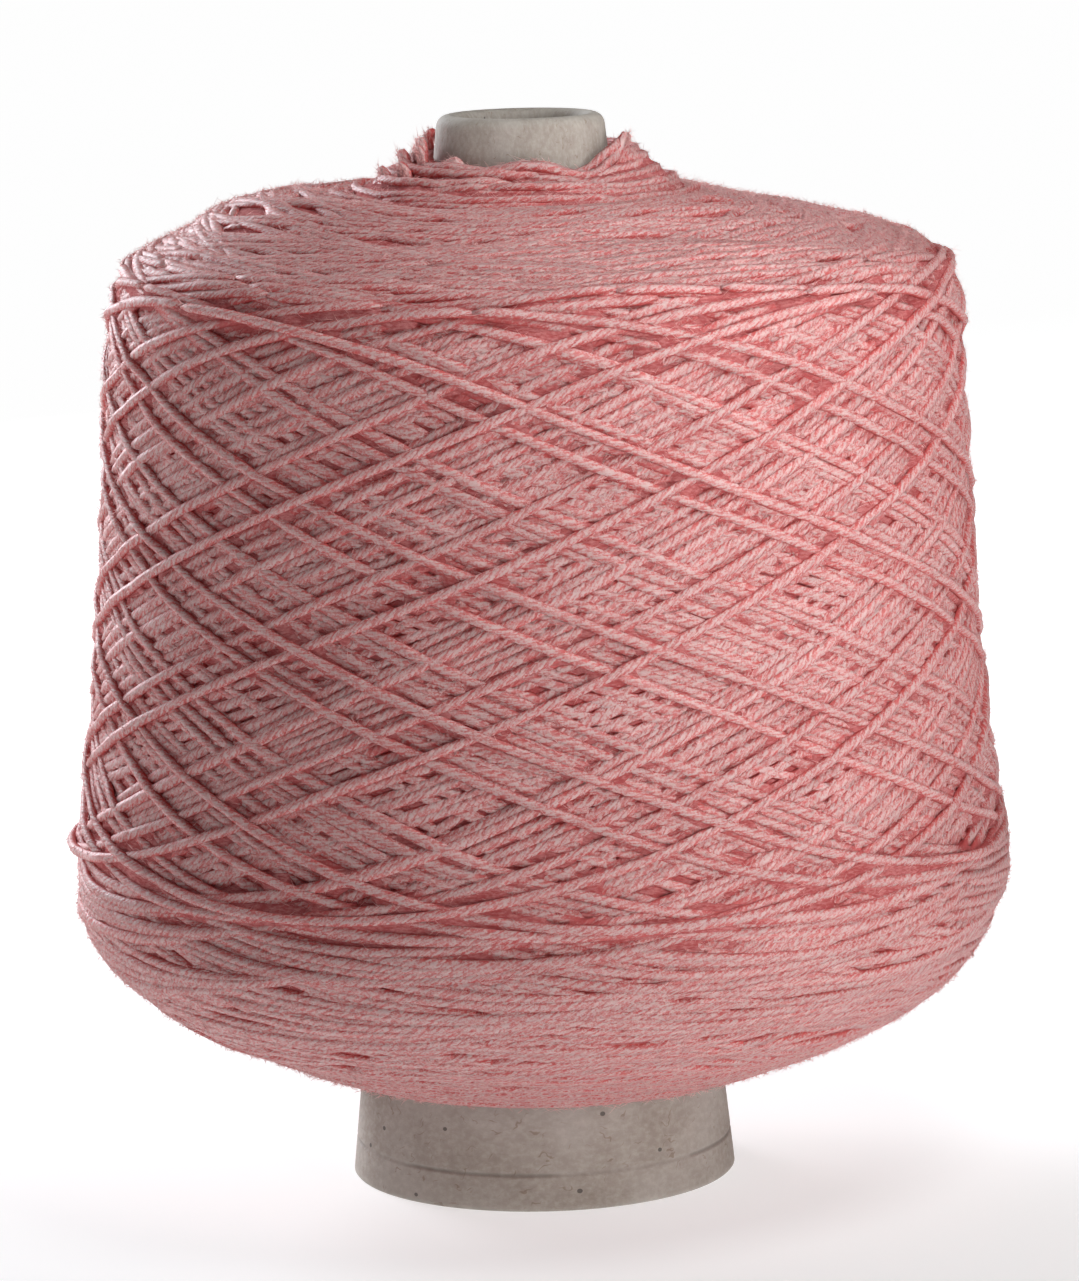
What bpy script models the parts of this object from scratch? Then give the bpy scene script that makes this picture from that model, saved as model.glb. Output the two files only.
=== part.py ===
"""Cone of yarn: a soft cross-wound package of yarn on a tapered paper cone with a rolled nose.

The cone stands on its wide end. The origin is the centre of that end, on the surface it stands
on, and +Z runs up the cone's axis. The side that is seen first faces -Y, with +X to its right.
"""

import math
from collections import namedtuple

import bmesh
import bpy
import numpy as np

MM = 0.001

# Paper cone: a straight tube of wound paper with the usual taper, its nose rolled inwards.
CONE_LENGTH = 170.0 * MM
BASE_RADIUS = 30.8 * MM
TAPER = math.radians(5.95)
WALL = 2.0 * MM
LIP_RADIUS = 1.9 * MM
ROLL_DEPTH = 12.0 * MM
ROLL_END_RADIUS = 0.9 * MM
SCORE_HEIGHT = 5.7 * MM
SCORE_DEPTH = 0.3 * MM
SCORE_HALF_WIDTH = 0.45 * MM
LIP_STEPS = 9
ROLL_END_STEPS = 4
CONE_SEGMENTS = 72

# Yarn package: rings from the collar at the nose down to the underside, each with its height
# and how far it reaches from the axis on the left and on the right.
FIT_GAP = 0.3 * MM
Ring = namedtuple("Ring", "height left right")
PACKAGE_RINGS = (
    Ring(166.4, 15.2, 15.2),
    Ring(166.0, 18.0, 18.3),
    Ring(163.8, 22.6, 23.2),
    Ring(161.5, 28.0, 27.2),
    Ring(160.3, 36.0, 33.0),
    Ring(158.2, 44.0, 41.5),
    Ring(155.0, 52.0, 51.0),
    Ring(151.0, 59.0, 60.0),
    Ring(147.0, 63.6, 65.8),
    Ring(141.5, 66.0, 68.6),
    Ring(132.0, 66.8, 69.2),
    Ring(116.0, 67.6, 70.0),
    Ring(100.0, 68.8, 70.6),
    Ring(84.0, 70.2, 71.6),
    Ring(70.0, 71.6, 73.2),
    Ring(60.0, 73.4, 74.4),
    Ring(52.0, 73.8, 75.4),
    Ring(45.5, 73.4, 75.0),
    Ring(39.5, 71.2, 72.2),
    Ring(34.0, 66.6, 68.2),
    Ring(29.0, 60.0, 62.4),
    Ring(25.0, 51.4, 55.0),
    Ring(21.5, 43.6, 46.6),
    Ring(18.5, 36.4, 38.2),
    Ring(16.6, 31.4, 32.0),
)
PACKAGE_SEGMENTS = 88
PACKAGE_ROWS = 50

# Main twists: ribbons of yarn laid up one way and down the other, crossing in diamonds.
RIBBON_STARTS = 7
RIBBON_TURNS = 0.95
RIBBON_LOW = 30.0 * MM
RIBBON_HIGH = 152.0 * MM
RIBBON_TURNBACK = 0.23
RIBBON_RELIEF = 1.0 * MM
RIBBON_SINK = 0.4
RIBBON_FADE = 14.0 * MM

# Collar: yarn heaped round the nose, higher at the two sides, in uneven lobes.
COLLAR_REACH = 27.0 * MM
COLLAR_SADDLE = 1.7 * MM
COLLAR_LOBES = 7
COLLAR_LOBE_HEIGHT = 0.8 * MM
COLLAR_LOBE_PHASE = 0.9

# Hollows and humps left in the soft top face by the yarn's turning back.
CROWN_LOBES = 3
CROWN_LOBE_HEIGHT = 0.7 * MM
CROWN_LOBE_PHASE = 2.4
CROWN_MIDDLE = 43.0 * MM
CROWN_HALF_WIDTH = 17.0 * MM


def clear_scene():
    """Remove every object of the scene."""
    for thing in list(bpy.data.objects):
        bpy.data.objects.remove(thing, do_unlink=True)


def cone_radius(height):
    """Outer radius of the paper cone at a height."""
    return BASE_RADIUS - height * math.tan(TAPER)


def arc(centre, radius, start, end, steps):
    """Points (radius, height) along an arc, its angles counted from straight outwards."""
    angles = np.linspace(start, end, steps)
    return [(centre[0] + radius * math.cos(a), centre[1] + radius * math.sin(a)) for a in angles]


def cone_profile():
    """Closed section of the paper cone as (radius, height), up the outside and down the bore."""
    wall_across = WALL / math.cos(TAPER)
    lip_height = CONE_LENGTH - LIP_RADIUS
    lip_centre = (cone_radius(lip_height) - LIP_RADIUS / math.cos(TAPER), lip_height)
    roll_end_height = CONE_LENGTH - ROLL_DEPTH
    roll_end_radius = cone_radius(roll_end_height) - wall_across - ROLL_END_RADIUS
    outside = [
        (cone_radius(0.0), 0.0),
        (cone_radius(SCORE_HEIGHT - SCORE_HALF_WIDTH), SCORE_HEIGHT - SCORE_HALF_WIDTH),
        (cone_radius(SCORE_HEIGHT) - SCORE_DEPTH, SCORE_HEIGHT),
        (cone_radius(SCORE_HEIGHT + SCORE_HALF_WIDTH), SCORE_HEIGHT + SCORE_HALF_WIDTH),
    ]
    lip = arc(lip_centre, LIP_RADIUS, TAPER, math.pi, LIP_STEPS)
    roll_end = arc(
        (roll_end_radius, roll_end_height),
        ROLL_END_RADIUS,
        math.pi,
        1.5 * math.pi,
        ROLL_END_STEPS,
    )
    corner_height = roll_end_height - ROLL_END_RADIUS
    bore = [
        (cone_radius(corner_height) - wall_across, corner_height),
        (cone_radius(0.0) - wall_across, 0.0),
    ]
    return outside + lip + roll_end + bore


def through_points(rows, count):
    """Even steps along a smooth curve through the rows, each row a point of any dimension."""
    points = np.asarray(rows, dtype=float)
    lengths = np.linalg.norm(np.diff(points, axis=0), axis=1)
    knots = np.concatenate([[0.0], np.cumsum(lengths)])
    slopes = np.gradient(points, knots, axis=0)
    at = np.linspace(0.0, knots[-1], count)
    index = np.clip(np.searchsorted(knots, at, side="right") - 1, 0, len(lengths) - 1)
    span = lengths[index][:, None]
    t = ((at - knots[index]) / lengths[index])[:, None]
    start_share = (1.0 + 2.0 * t) * (1.0 - t) ** 2
    end_share = t * t * (3.0 - 2.0 * t)
    start_pull = t * (1.0 - t) ** 2 * span
    end_pull = t * t * (t - 1.0) * span
    return (
        start_share * points[index]
        + end_share * points[index + 1]
        + start_pull * slopes[index]
        + end_pull * slopes[index + 1]
    )


def turns_wound(height):
    """Turns that a ribbon has made round the package when it has climbed to a height."""
    climbed = (height - RIBBON_LOW) / (RIBBON_HIGH - RIBBON_LOW)
    climbed = min(max(climbed, 0.0), 1.0)
    from_end = min(climbed, 1.0 - climbed)
    curved = RIBBON_TURNBACK / (2.0 * (1.0 - RIBBON_TURNBACK))
    if from_end < curved:
        share = math.sqrt(2.0 * RIBBON_TURNBACK * (1.0 - RIBBON_TURNBACK) * from_end)
    else:
        share = RIBBON_TURNBACK / 2.0 + from_end * (1.0 - RIBBON_TURNBACK)
    if climbed > 0.5:
        share = 1.0 - share
    return RIBBON_TURNS * share


def bump(value, middle, half_width):
    """1 at the middle, falling smoothly to 0 a half width away."""
    away = min(abs(value - middle) / half_width, 1.0)
    return 0.5 + 0.5 * math.cos(math.pi * away)


def ribbon_band(angle):
    """1 on the middle line of the nearest ribbon, falling to 0 between two ribbons."""
    return (0.5 + 0.5 * math.cos(RIBBON_STARTS * angle)) ** 2


def ribbon_relief(azimuth, height):
    """How far the crossing ribbons stand proud of the package's mean side."""
    edge = min(height - RIBBON_LOW, RIBBON_HIGH - height)
    fade = min(max(edge / RIBBON_FADE, 0.0), 1.0)
    wound = 2.0 * math.pi * turns_wound(height)
    band = max(ribbon_band(azimuth - wound), ribbon_band(azimuth + wound))
    return RIBBON_RELIEF * fade * (band - RIBBON_SINK)


def top_relief(azimuth, radius, height):
    """Height that the collar's lobes and the hollows of the top face add."""
    if height < RIBBON_HIGH:
        return 0.0
    collar = bump(radius, BASE_RADIUS / 2.0, COLLAR_REACH - BASE_RADIUS / 2.0)
    saddle = COLLAR_SADDLE * math.cos(2.0 * azimuth)
    lobes = COLLAR_LOBE_HEIGHT * math.cos(COLLAR_LOBES * azimuth + COLLAR_LOBE_PHASE)
    crown = bump(radius, CROWN_MIDDLE, CROWN_HALF_WIDTH)
    crown_lobes = CROWN_LOBE_HEIGHT * math.cos(CROWN_LOBES * azimuth + CROWN_LOBE_PHASE)
    return collar * (saddle + lobes) + crown * crown_lobes


def package_point(row, azimuth):
    """Point of the package's outer skin on a row (height, left, right) at an azimuth."""
    height, left, right = row
    radius = 0.5 * (left + right)
    reach = radius + ribbon_relief(azimuth, height)
    return (
        0.5 * (right - left) + reach * math.cos(azimuth),
        reach * math.sin(azimuth),
        height + top_relief(azimuth, radius, height),
    )


def wrapped_mesh(name, columns):
    """Mesh of a ring-shaped body, from the closed section in each column round the axis."""
    mesh = bpy.data.meshes.new(name)
    shape = bmesh.new()
    grid = [[shape.verts.new(point) for point in column] for column in columns]
    for index, column in enumerate(grid):
        following = grid[(index + 1) % len(grid)]
        for row in range(len(column)):
            below = (row + 1) % len(column)
            shape.faces.new((column[row], column[below], following[below], following[row]))
    bmesh.ops.recalc_face_normals(shape, faces=shape.faces)
    shape.to_mesh(mesh)
    shape.free()
    return mesh


def azimuths(segments):
    """Even angles round the axis."""
    return [2.0 * math.pi * index / segments for index in range(segments)]


def finish(name, colour, roughness):
    """Plain material of one piece."""
    material = bpy.data.materials.new(name)
    material.use_nodes = True
    shader = material.node_tree.nodes["Principled BSDF"]
    shader.inputs["Base Color"].default_value = (*colour, 1.0)
    shader.inputs["Roughness"].default_value = roughness
    shader.inputs["Metallic"].default_value = 0.0
    return material


def add_piece(name, mesh, material):
    """Put a mesh in the scene as a smooth-shaded object."""
    mesh.shade_smooth()
    mesh.set_sharp_from_angle(angle=math.radians(40.0))
    mesh.materials.append(material)
    piece = bpy.data.objects.new(name, mesh)
    bpy.context.scene.collection.objects.link(piece)
    return piece


def build_paper_cone():
    """The hollow paper cone, turned from its section."""
    profile = cone_profile()
    columns = [
        [(radius * math.cos(a), radius * math.sin(a), height) for radius, height in profile]
        for a in azimuths(CONE_SEGMENTS)
    ]
    material = finish("grey_paper", (0.42, 0.38, 0.33), 0.85)
    return add_piece("paper_cone", wrapped_mesh("paper_cone", columns), material)


def build_yarn_package():
    """The wound package as one body, bored to sit on the paper cone."""
    table = np.array(PACKAGE_RINGS) * MM
    rows = through_points(table, PACKAGE_ROWS)
    gap = FIT_GAP / math.cos(TAPER)
    columns = []
    for azimuth in azimuths(PACKAGE_SEGMENTS):
        skin = [package_point(row, azimuth) for row in rows]
        bore = []
        for end in (skin[-1], skin[0]):
            radius = cone_radius(end[2]) + gap
            bore.append((radius * math.cos(azimuth), radius * math.sin(azimuth), end[2]))
        columns.append(skin + bore)
    material = finish("salmon_yarn", (0.66, 0.27, 0.25), 0.95)
    return add_piece("yarn_package", wrapped_mesh("yarn_package", columns), material)


def main():
    """Build the cone of yarn."""
    clear_scene()
    build_paper_cone()
    build_yarn_package()


main()
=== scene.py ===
"""Looks of the cone of yarn: its windings, loose fibres, paper cone, ground, light and camera.

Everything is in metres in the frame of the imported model: the cone stands on its wide end at the
origin, +Z runs up to its nose, and the side that the camera sees faces -Y.
"""

import logging
import math
from dataclasses import dataclass, field
from enum import Enum
from typing import NamedTuple

import bpy
import numpy as np
from mathutils import Matrix, Vector

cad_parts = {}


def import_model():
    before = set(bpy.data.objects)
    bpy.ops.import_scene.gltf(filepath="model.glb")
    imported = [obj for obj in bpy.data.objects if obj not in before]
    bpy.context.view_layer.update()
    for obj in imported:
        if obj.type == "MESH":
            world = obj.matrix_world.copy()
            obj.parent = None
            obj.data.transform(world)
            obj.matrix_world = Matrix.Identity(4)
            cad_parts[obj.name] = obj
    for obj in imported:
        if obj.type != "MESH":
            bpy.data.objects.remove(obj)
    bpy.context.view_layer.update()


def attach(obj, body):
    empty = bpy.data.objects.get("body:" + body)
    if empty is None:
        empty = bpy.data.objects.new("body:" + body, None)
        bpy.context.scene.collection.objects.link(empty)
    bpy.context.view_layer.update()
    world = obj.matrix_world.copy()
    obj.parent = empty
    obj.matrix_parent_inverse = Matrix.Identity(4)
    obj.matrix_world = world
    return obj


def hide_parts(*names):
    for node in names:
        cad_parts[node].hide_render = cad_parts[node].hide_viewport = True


log = logging.getLogger("cone_of_yarn")

MM = 0.001
TINY = 0.001
TURN = 2.0 * math.pi
BODY = "root"
YARN_NODE = "yarn_package"
CONE_NODE = "paper_cone"
PICTURE_HEIGHT = 1281
STRAND_MAP = "Strand"
BAKE_MAP = "OFBake"

Array = np.ndarray
Colour = tuple[float, float, float]
Span = tuple[float, float]
Piece = bpy.types.Object
Material = bpy.types.Material
Socket = bpy.types.NodeSocket
Random = np.random.Generator


# ---- Meshes and node trees


def piece_from_arrays(name: str, points: Array, corners: Array, starts: Array) -> Piece:
    """Make a smooth-shaded mesh object from plain arrays.

    Args:
        name: Name of the piece and its mesh.
        points: Vertex positions, one row each.
        corners: Vertex index of every face corner, face after face.
        starts: Index in corners where each face starts.

    Returns:
        The object, linked to the scene.
    """
    mesh = bpy.data.meshes.new(name)
    mesh.vertices.add(len(points))
    mesh.vertices.foreach_set("co", np.ascontiguousarray(points, dtype=np.float32).ravel())
    mesh.loops.add(len(corners))
    mesh.loops.foreach_set("vertex_index", corners.astype(np.int32))
    mesh.polygons.add(len(starts))
    mesh.polygons.foreach_set("loop_start", starts.astype(np.int32))
    mesh.update(calc_edges=True)
    mesh.shade_smooth()
    piece = bpy.data.objects.new(name, mesh)
    bpy.context.scene.collection.objects.link(piece)
    return piece


def add_uv(piece: Piece, name: str, values: Array) -> None:
    """Add a UV map from one (u, v) row per face corner."""
    layer = piece.data.uv_layers.new(name=name)
    layer.uv.foreach_set("vector", np.ascontiguousarray(values, dtype=np.float32).ravel())


def add_value(piece: Piece, name: str, values: Array) -> None:
    """Add a named number to every vertex of a piece."""
    attribute = piece.data.attributes.new(name, "FLOAT", "POINT")
    attribute.data.foreach_set("value", np.ascontiguousarray(values, dtype=np.float32))


def evened(values: Array, width: float) -> Array:
    """Moving average over an odd count of values.

    Args:
        values: A row of numbers.
        width: Roughly how many of them are averaged.

    Returns:
        As many numbers, the ends held.
    """
    count = max(int(width) | 1, 3)
    padded = np.pad(values, count // 2, mode="edge")
    return np.convolve(padded, np.ones(count) / count, mode="valid")


def smooth_step(value: Array) -> Array:
    """Ease numbers from 0 to 1, held at both ends."""
    held = np.clip(value, 0.0, 1.0)
    return held * held * (3.0 - 2.0 * held)


def unit(rows: Array) -> Array:
    """Rows of vectors at length 1."""
    return rows / np.linalg.norm(rows, axis=1, keepdims=True)


def step_lengths(points: Array) -> Array:
    """Lengths of the steps from point to point."""
    return np.linalg.norm(np.diff(points, axis=0), axis=1)


def running_total(steps: Array) -> Array:
    """Totals of the steps so far, from 0."""
    return np.concatenate([[0.0], np.cumsum(steps)])


def cosine_hump(away: Array) -> Array:
    """A round hump: 1 where away is 0, falling to 0 where it is 1 or more."""
    return 0.5 + 0.5 * np.cos(math.pi * np.minimum(away, 1.0))


def lathed(
    name: str, section: Array, girth: float, closing: float, downward: bool = False
) -> Piece:
    """Join closed sections round the axis into one piece, with its maps.

    Args:
        name: Name of the piece.
        section: Points by column round the axis and by row along the closed section.
        girth: Width of the strand map round the piece, in mm.
        closing: Length in the maps of the section's last step, back to its first row.
        downward: Whether the section runs down its outside, so that the faces are turned over.

    Returns:
        The piece.
    """
    columns, rows, _ = section.shape
    column = np.arange(columns)[:, None]
    row = np.arange(rows)[None, :]
    right, following = (column + 1) % columns, (row + 1) % rows
    order = [0, 3, 2, 1] if downward else [0, 1, 2, 3]
    quads = np.stack(
        [
            column * rows + row,
            right * rows + row,
            right * rows + following,
            column * rows + following,
        ],
        axis=-1,
    )
    corners = quads[..., order].reshape(-1)
    piece = piece_from_arrays(name, section.reshape(-1, 3), corners, 4 * np.arange(columns * rows))
    steps = step_lengths(section[0])
    along = np.concatenate([running_total(steps), [steps.sum() + closing]])
    left = np.broadcast_to(column, (columns, rows))
    begin = np.broadcast_to(along[None, :-1], (columns, rows))
    end = np.broadcast_to(along[None, 1:], (columns, rows))
    u = np.stack([left, left + 1, left + 1, left], axis=-1)[..., order] / columns
    v = np.stack([begin, begin, end, end], axis=-1)[..., order]
    add_uv(piece, STRAND_MAP, np.stack([u * girth, v / MM], axis=-1).reshape(-1, 2))
    add_uv(piece, BAKE_MAP, np.stack([u, v / along[-1]], axis=-1).reshape(-1, 2))
    return piece


class NodeBench:
    """A material's node tree, with short calls that add a node and wire it."""

    def __init__(self, name: str) -> None:
        """Start a material that has only its output.

        Args:
            name: Name of the material.
        """
        self.material = bpy.data.materials.new(name)
        self.material.use_nodes = True
        self.tree = self.material.node_tree
        self.tree.nodes.clear()
        self.output = self.tree.nodes.new("ShaderNodeOutputMaterial")

    def wire(self, source: object, socket: Socket) -> None:
        """Link a socket, or set a plain number or colour on it.

        Args:
            source: The socket, number or colour that goes in.
            socket: The input that it goes into.
        """
        if isinstance(source, Socket):
            self.tree.links.new(source, socket)
        elif socket.type == "RGBA" and len(source) == 3:
            socket.default_value = (*source, 1.0)
        else:
            socket.default_value = source

    def node(self, kind: str, inputs: dict, **settings: object) -> bpy.types.Node:
        """Add a node.

        Args:
            kind: Blender's name of the node type, without "ShaderNode".
            inputs: What goes into each input, by its name or number.
            settings: The node's own properties.

        Returns:
            The node.
        """
        made = self.tree.nodes.new("ShaderNode" + kind)
        for name, value in settings.items():
            setattr(made, name, value)
        for key, source in inputs.items():
            self.wire(source, made.inputs[key])
        return made

    def math(self, operation: str, *values: object) -> Socket:
        """Do one sum on numbers."""
        return self.node("Math", dict(enumerate(values)), operation=operation).outputs[0]

    def times(self, first: object, second: object) -> Socket:
        """Multiply two numbers."""
        return self.math("MULTIPLY", first, second)

    def plus(self, first: object, second: object) -> Socket:
        """Add two numbers."""
        return self.math("ADD", first, second)

    def minus(self, first: object, second: object) -> Socket:
        """Take the second number from the first."""
        return self.math("SUBTRACT", first, second)

    def uv(self, name: str) -> tuple[Socket, Socket]:
        """Read a UV map.

        Args:
            name: Name of the map.

        Returns:
            The sockets of its two numbers.
        """
        place = self.node("UVMap", {}, uv_map=name)
        parts = self.node("SeparateXYZ", {0: place.outputs[0]})
        return parts.outputs[0], parts.outputs[1]

    def value(self, name: str) -> Socket:
        """Read a number that the vertices carry."""
        return self.node("Attribute", {}, attribute_name=name).outputs["Fac"]

    def vector(self, x: object, y: object, z: object) -> Socket:
        """Join three numbers into a vector."""
        return self.node("CombineXYZ", {0: x, 1: y, 2: z}).outputs[0]

    def noise(
        self, vector: object, scale: float, detail: float = 2.0, rough: float = 0.5
    ) -> Socket:
        """Soft noise from 0 to 1."""
        inputs = {"Vector": vector, "Scale": scale, "Detail": detail, "Roughness": rough}
        return self.node("TexNoise", inputs).outputs[0]

    def ramp(self, value: object, low: float, high: float) -> Socket:
        """Stretch a number so that low becomes 0 and high becomes 1, held at both ends."""
        inputs = {"Value": value, "From Min": low, "From Max": high}
        return self.node("MapRange", inputs, interpolation_type="SMOOTHSTEP").outputs[0]

    def mix(self, share: object, first: object, second: object) -> Socket:
        """Mix two colours."""
        made = self.node("Mix", {0: share, 6: first, 7: second}, data_type="RGBA")
        return made.outputs[2]

    def bump(self, height: object, depth: float, strength: float, under: object = None) -> Socket:
        """Tilt the surface by a height.

        Args:
            height: Height from 0 to 1.
            depth: How deep the relief is, in metres.
            strength: How much of it shows.
            under: Normal of a coarser relief that this one lies on.

        Returns:
            The normal's socket.
        """
        inputs = {"Height": height, "Distance": depth, "Strength": strength}
        if under is not None:
            inputs["Normal"] = under
        return self.node("Bump", inputs).outputs[0]

    def matt(
        self, colour: object, roughness: object, specular: float, relief: object = None
    ) -> bpy.types.Node:
        """Add the shader of a matt surface.

        Args:
            colour: Its colour.
            roughness: How rough it is.
            specular: How much it shines.
            relief: Normal of its relief, if it has one.

        Returns:
            The shader.
        """
        inputs = {"Base Color": colour, "Roughness": roughness, "Specular IOR Level": specular}
        if relief is not None:
            inputs["Normal"] = relief
        return self.node("BsdfPrincipled", inputs)

    def finish(self, shader: bpy.types.Node) -> Material:
        """Wire the shader to the output."""
        self.wire(shader.outputs[0], self.output.inputs["Surface"])
        return self.material


# ---- Finishes


@dataclass(frozen=True)
class YarnFinish:
    """Soft plied yarn, read from each strand's own map: u in mm along it, v once round it.

    The map's v is 0 on the side towards the package's axis and 0.5 on the outer side. The colour
    runs from hollow, a painted shade on a strand's inner side and in its low spots, through mean
    to crest: besides the fibres' own mottle, mean paints shade in the ply valleys and crest a
    highlight on the ply crests. It goes to deep, a painted shade, where a strand lies under
    others. A pair of numbers is the range over which something comes in.
    """

    # Crest and mean carry the fibres' own mottle, a painted highlight on the ply crests and painted
    # shade in the ply valleys.
    crest: Colour = (0.79, 0.565, 0.55)
    mean: Colour = (0.75, 0.335, 0.325)
    # Painted shade on a strand's inner side and in its low spots.
    hollow: Colour = (0.69, 0.12, 0.115)
    # Painted shade on strands that lie under others.
    deep: Colour = (0.58, 0.11, 0.11)
    lobes: int = 4
    pitch: float = 7.5
    fibre_pitch: float = 11.0
    strand_radius: float = 0.85
    ply_depth: float = 0.16 * MM
    ply_relief: float = 0.6
    ply_mean: float = 0.64
    ply_shown: Span = (0.22, 0.60)
    ply_wander: float = 0.42
    fluff_size: float = 0.40 * MM
    tone_length: float = 30.0
    streak_range: Span = (0.38, 0.63)
    ply_share: float = 0.42
    streak_share: float = 0.58
    buried_darkening: float = -0.22
    crest_range: Span = (0.30, 0.88)
    outer_share: float = 0.75
    body_share: float = 0.55
    groove_shade_range: Span = (0.55, 1.05)
    buried_shade_range: Span = (0.3, 1.4)
    buried_shade_share: float = 0.6
    tone_step: float = 0.12
    roughness: float = 0.58
    specular: float = 0.30
    glow_through: float = 0.22

    def turned(self, bench: NodeBench, u: object, v: object, pitch: float) -> Socket:
        """Angle round the strand, counted in a frame that turns with the twist."""
        wound = bench.math("DIVIDE", u, pitch)
        return bench.times(bench.minus(v, wound), TURN)

    def around(self, bench: NodeBench, u: object, angle: object, stretch: float) -> Socket:
        """Place for a noise that is drawn out along the fibres.

        Args:
            bench: The material's bench.
            u: Way along the strand, in mm.
            angle: Angle round it.
            stretch: How many times the noise is drawn out.

        Returns:
            The place.
        """
        across = bench.times(bench.math("COSINE", angle), self.strand_radius)
        up = bench.times(bench.math("SINE", angle), self.strand_radius)
        return bench.vector(bench.math("DIVIDE", u, stretch), across, up)

    def make(self) -> Material:
        """Make the material of the wound strands.

        Returns:
            The material.
        """
        bench = NodeBench("plied_yarn")
        u, v = bench.uv(STRAND_MAP)
        angle = self.turned(bench, u, v, self.fibre_pitch)
        fibre = bench.noise(self.around(bench, u, angle, 3.4), 2.7, 2.0, 0.6)
        tuft = bench.noise(self.around(bench, u, angle, 2.6), 1.5, 1.0, 0.55)
        along = bench.vector(bench.math("DIVIDE", u, self.tone_length), 0.0, 0.0)
        slow = bench.noise(along, 1.0, 1.0)
        space = bench.node("TexCoord", {}).outputs["Object"]
        fluff = bench.noise(space, 1.0 / self.fluff_size, 2.0, 0.7)
        wander = bench.times(bench.minus(tuft, 0.5), self.ply_wander)
        ply_angle = self.turned(bench, u, bench.plus(v, wander), self.pitch)
        half = bench.times(ply_angle, 0.5 * self.lobes)
        lobe = bench.math("ABSOLUTE", bench.math("COSINE", half))
        shown = bench.ramp(tuft, *self.ply_shown)
        ply = bench.math("MULTIPLY_ADD", bench.minus(lobe, self.ply_mean), shown, self.ply_mean)
        inward = bench.math("ABSOLUTE", bench.math("MULTIPLY_ADD", v, 2.0, -1.0))
        outer = bench.minus(1.0, inward)
        mottle = bench.math("MULTIPLY_ADD", fluff, 0.5, bench.times(fibre, 0.5))
        streak = bench.times(bench.ramp(mottle, *self.streak_range), self.streak_share)
        body = bench.math("MULTIPLY_ADD", ply, self.ply_share, streak)
        depth = bench.value("bury")
        # Painted shade: the deeper a strand lies under others, the lower its body and the darker its
        # colour.
        body = bench.math("MULTIPLY_ADD", depth, self.buried_darkening, body)
        edge = bench.times(body, self.body_share)
        edge = bench.math("MULTIPLY_ADD", outer, self.outer_share, edge)
        # Mean to crest by the ply and the fibre streaks: the fibres' own mottle, with painted shade in
        # the ply valleys and a painted highlight on the ply crests.
        colour = bench.mix(bench.ramp(body, *self.crest_range), self.mean, self.crest)
        # Painted shade: a strand's inner side and its low spots take the hollow colour.
        colour = bench.mix(bench.ramp(edge, *self.groove_shade_range), self.hollow, colour)
        # Painted shade: strands that lie under others go towards the deep colour.
        sunk = bench.times(bench.ramp(depth, *self.buried_shade_range), self.buried_shade_share)
        colour = bench.mix(sunk, colour, self.deep)
        tone = bench.plus(bench.value("tone"), slow)
        tone = bench.math("MULTIPLY_ADD", tone, self.tone_step, 1.0 - self.tone_step)
        shade = bench.node("HueSaturation", {"Color": colour, "Value": tone}).outputs[0]
        relief = bench.bump(ply, self.ply_depth, self.ply_relief)
        shader = bench.matt(shade, self.roughness, self.specular, relief)
        through = bench.node("BsdfTranslucent", {"Color": shade})
        both = {0: self.glow_through, 1: shader.outputs[0], 2: through.outputs[0]}
        return bench.finish(bench.node("MixShader", both))


@dataclass(frozen=True)
class DeepYarnFinish:
    """The yarn deep in the package, seen only between the outer strands, painted darker and redder than
    them as shade.
    """

    # The felt's colours are darker and redder than the strands': painted shade between them.
    light: Colour = (0.62, 0.25, 0.245)
    dark: Colour = (0.44, 0.09, 0.09)
    fibre_size: float = 1.1 * MM
    cloud_size: float = 5.0 * MM
    drawn_out: tuple[float, float, float] = (1.0, 1.0, 3.2)
    light_range: Span = (0.38, 0.68)
    depth: float = 0.3 * MM

    def make(self) -> Material:
        """Make the material of the package's body.

        Returns:
            The material.
        """
        bench = NodeBench("deep_yarn")
        space = bench.node("TexCoord", {}).outputs["Object"]
        stretched = {0: space, 1: self.drawn_out}
        drawn = bench.node("VectorMath", stretched, operation="MULTIPLY").outputs[0]
        fibre = bench.noise(drawn, 1.0 / self.fibre_size, 3.0, 0.7)
        cloud = bench.noise(space, 1.0 / self.cloud_size, 2.0)
        body = bench.math("MULTIPLY_ADD", fibre, 0.75, bench.times(cloud, 0.25))
        colour = bench.mix(bench.ramp(body, *self.light_range), self.dark, self.light)
        relief = bench.bump(fibre, self.depth, 0.8)
        return bench.finish(bench.matt(colour, 0.95, 0.05, relief))


@dataclass(frozen=True)
class FuzzFinish:
    """Loose fibres, paler towards their tips. Their map holds each fibre's tone and its length."""

    root: Colour = (0.86, 0.50, 0.48)
    tip: Colour = (0.92, 0.72, 0.70)
    deep: Colour = (0.80, 0.30, 0.28)
    deep_share: float = 0.6

    def make(self) -> Material:
        """Make the material of the loose fibres.

        Returns:
            The material.
        """
        bench = NodeBench("loose_fibre")
        tone, along = bench.uv(STRAND_MAP)
        colour = bench.mix(along, self.root, self.tip)
        colour = bench.mix(bench.times(tone, self.deep_share), colour, self.deep)
        return bench.finish(bench.matt(colour, 0.8, 0.2))


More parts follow.
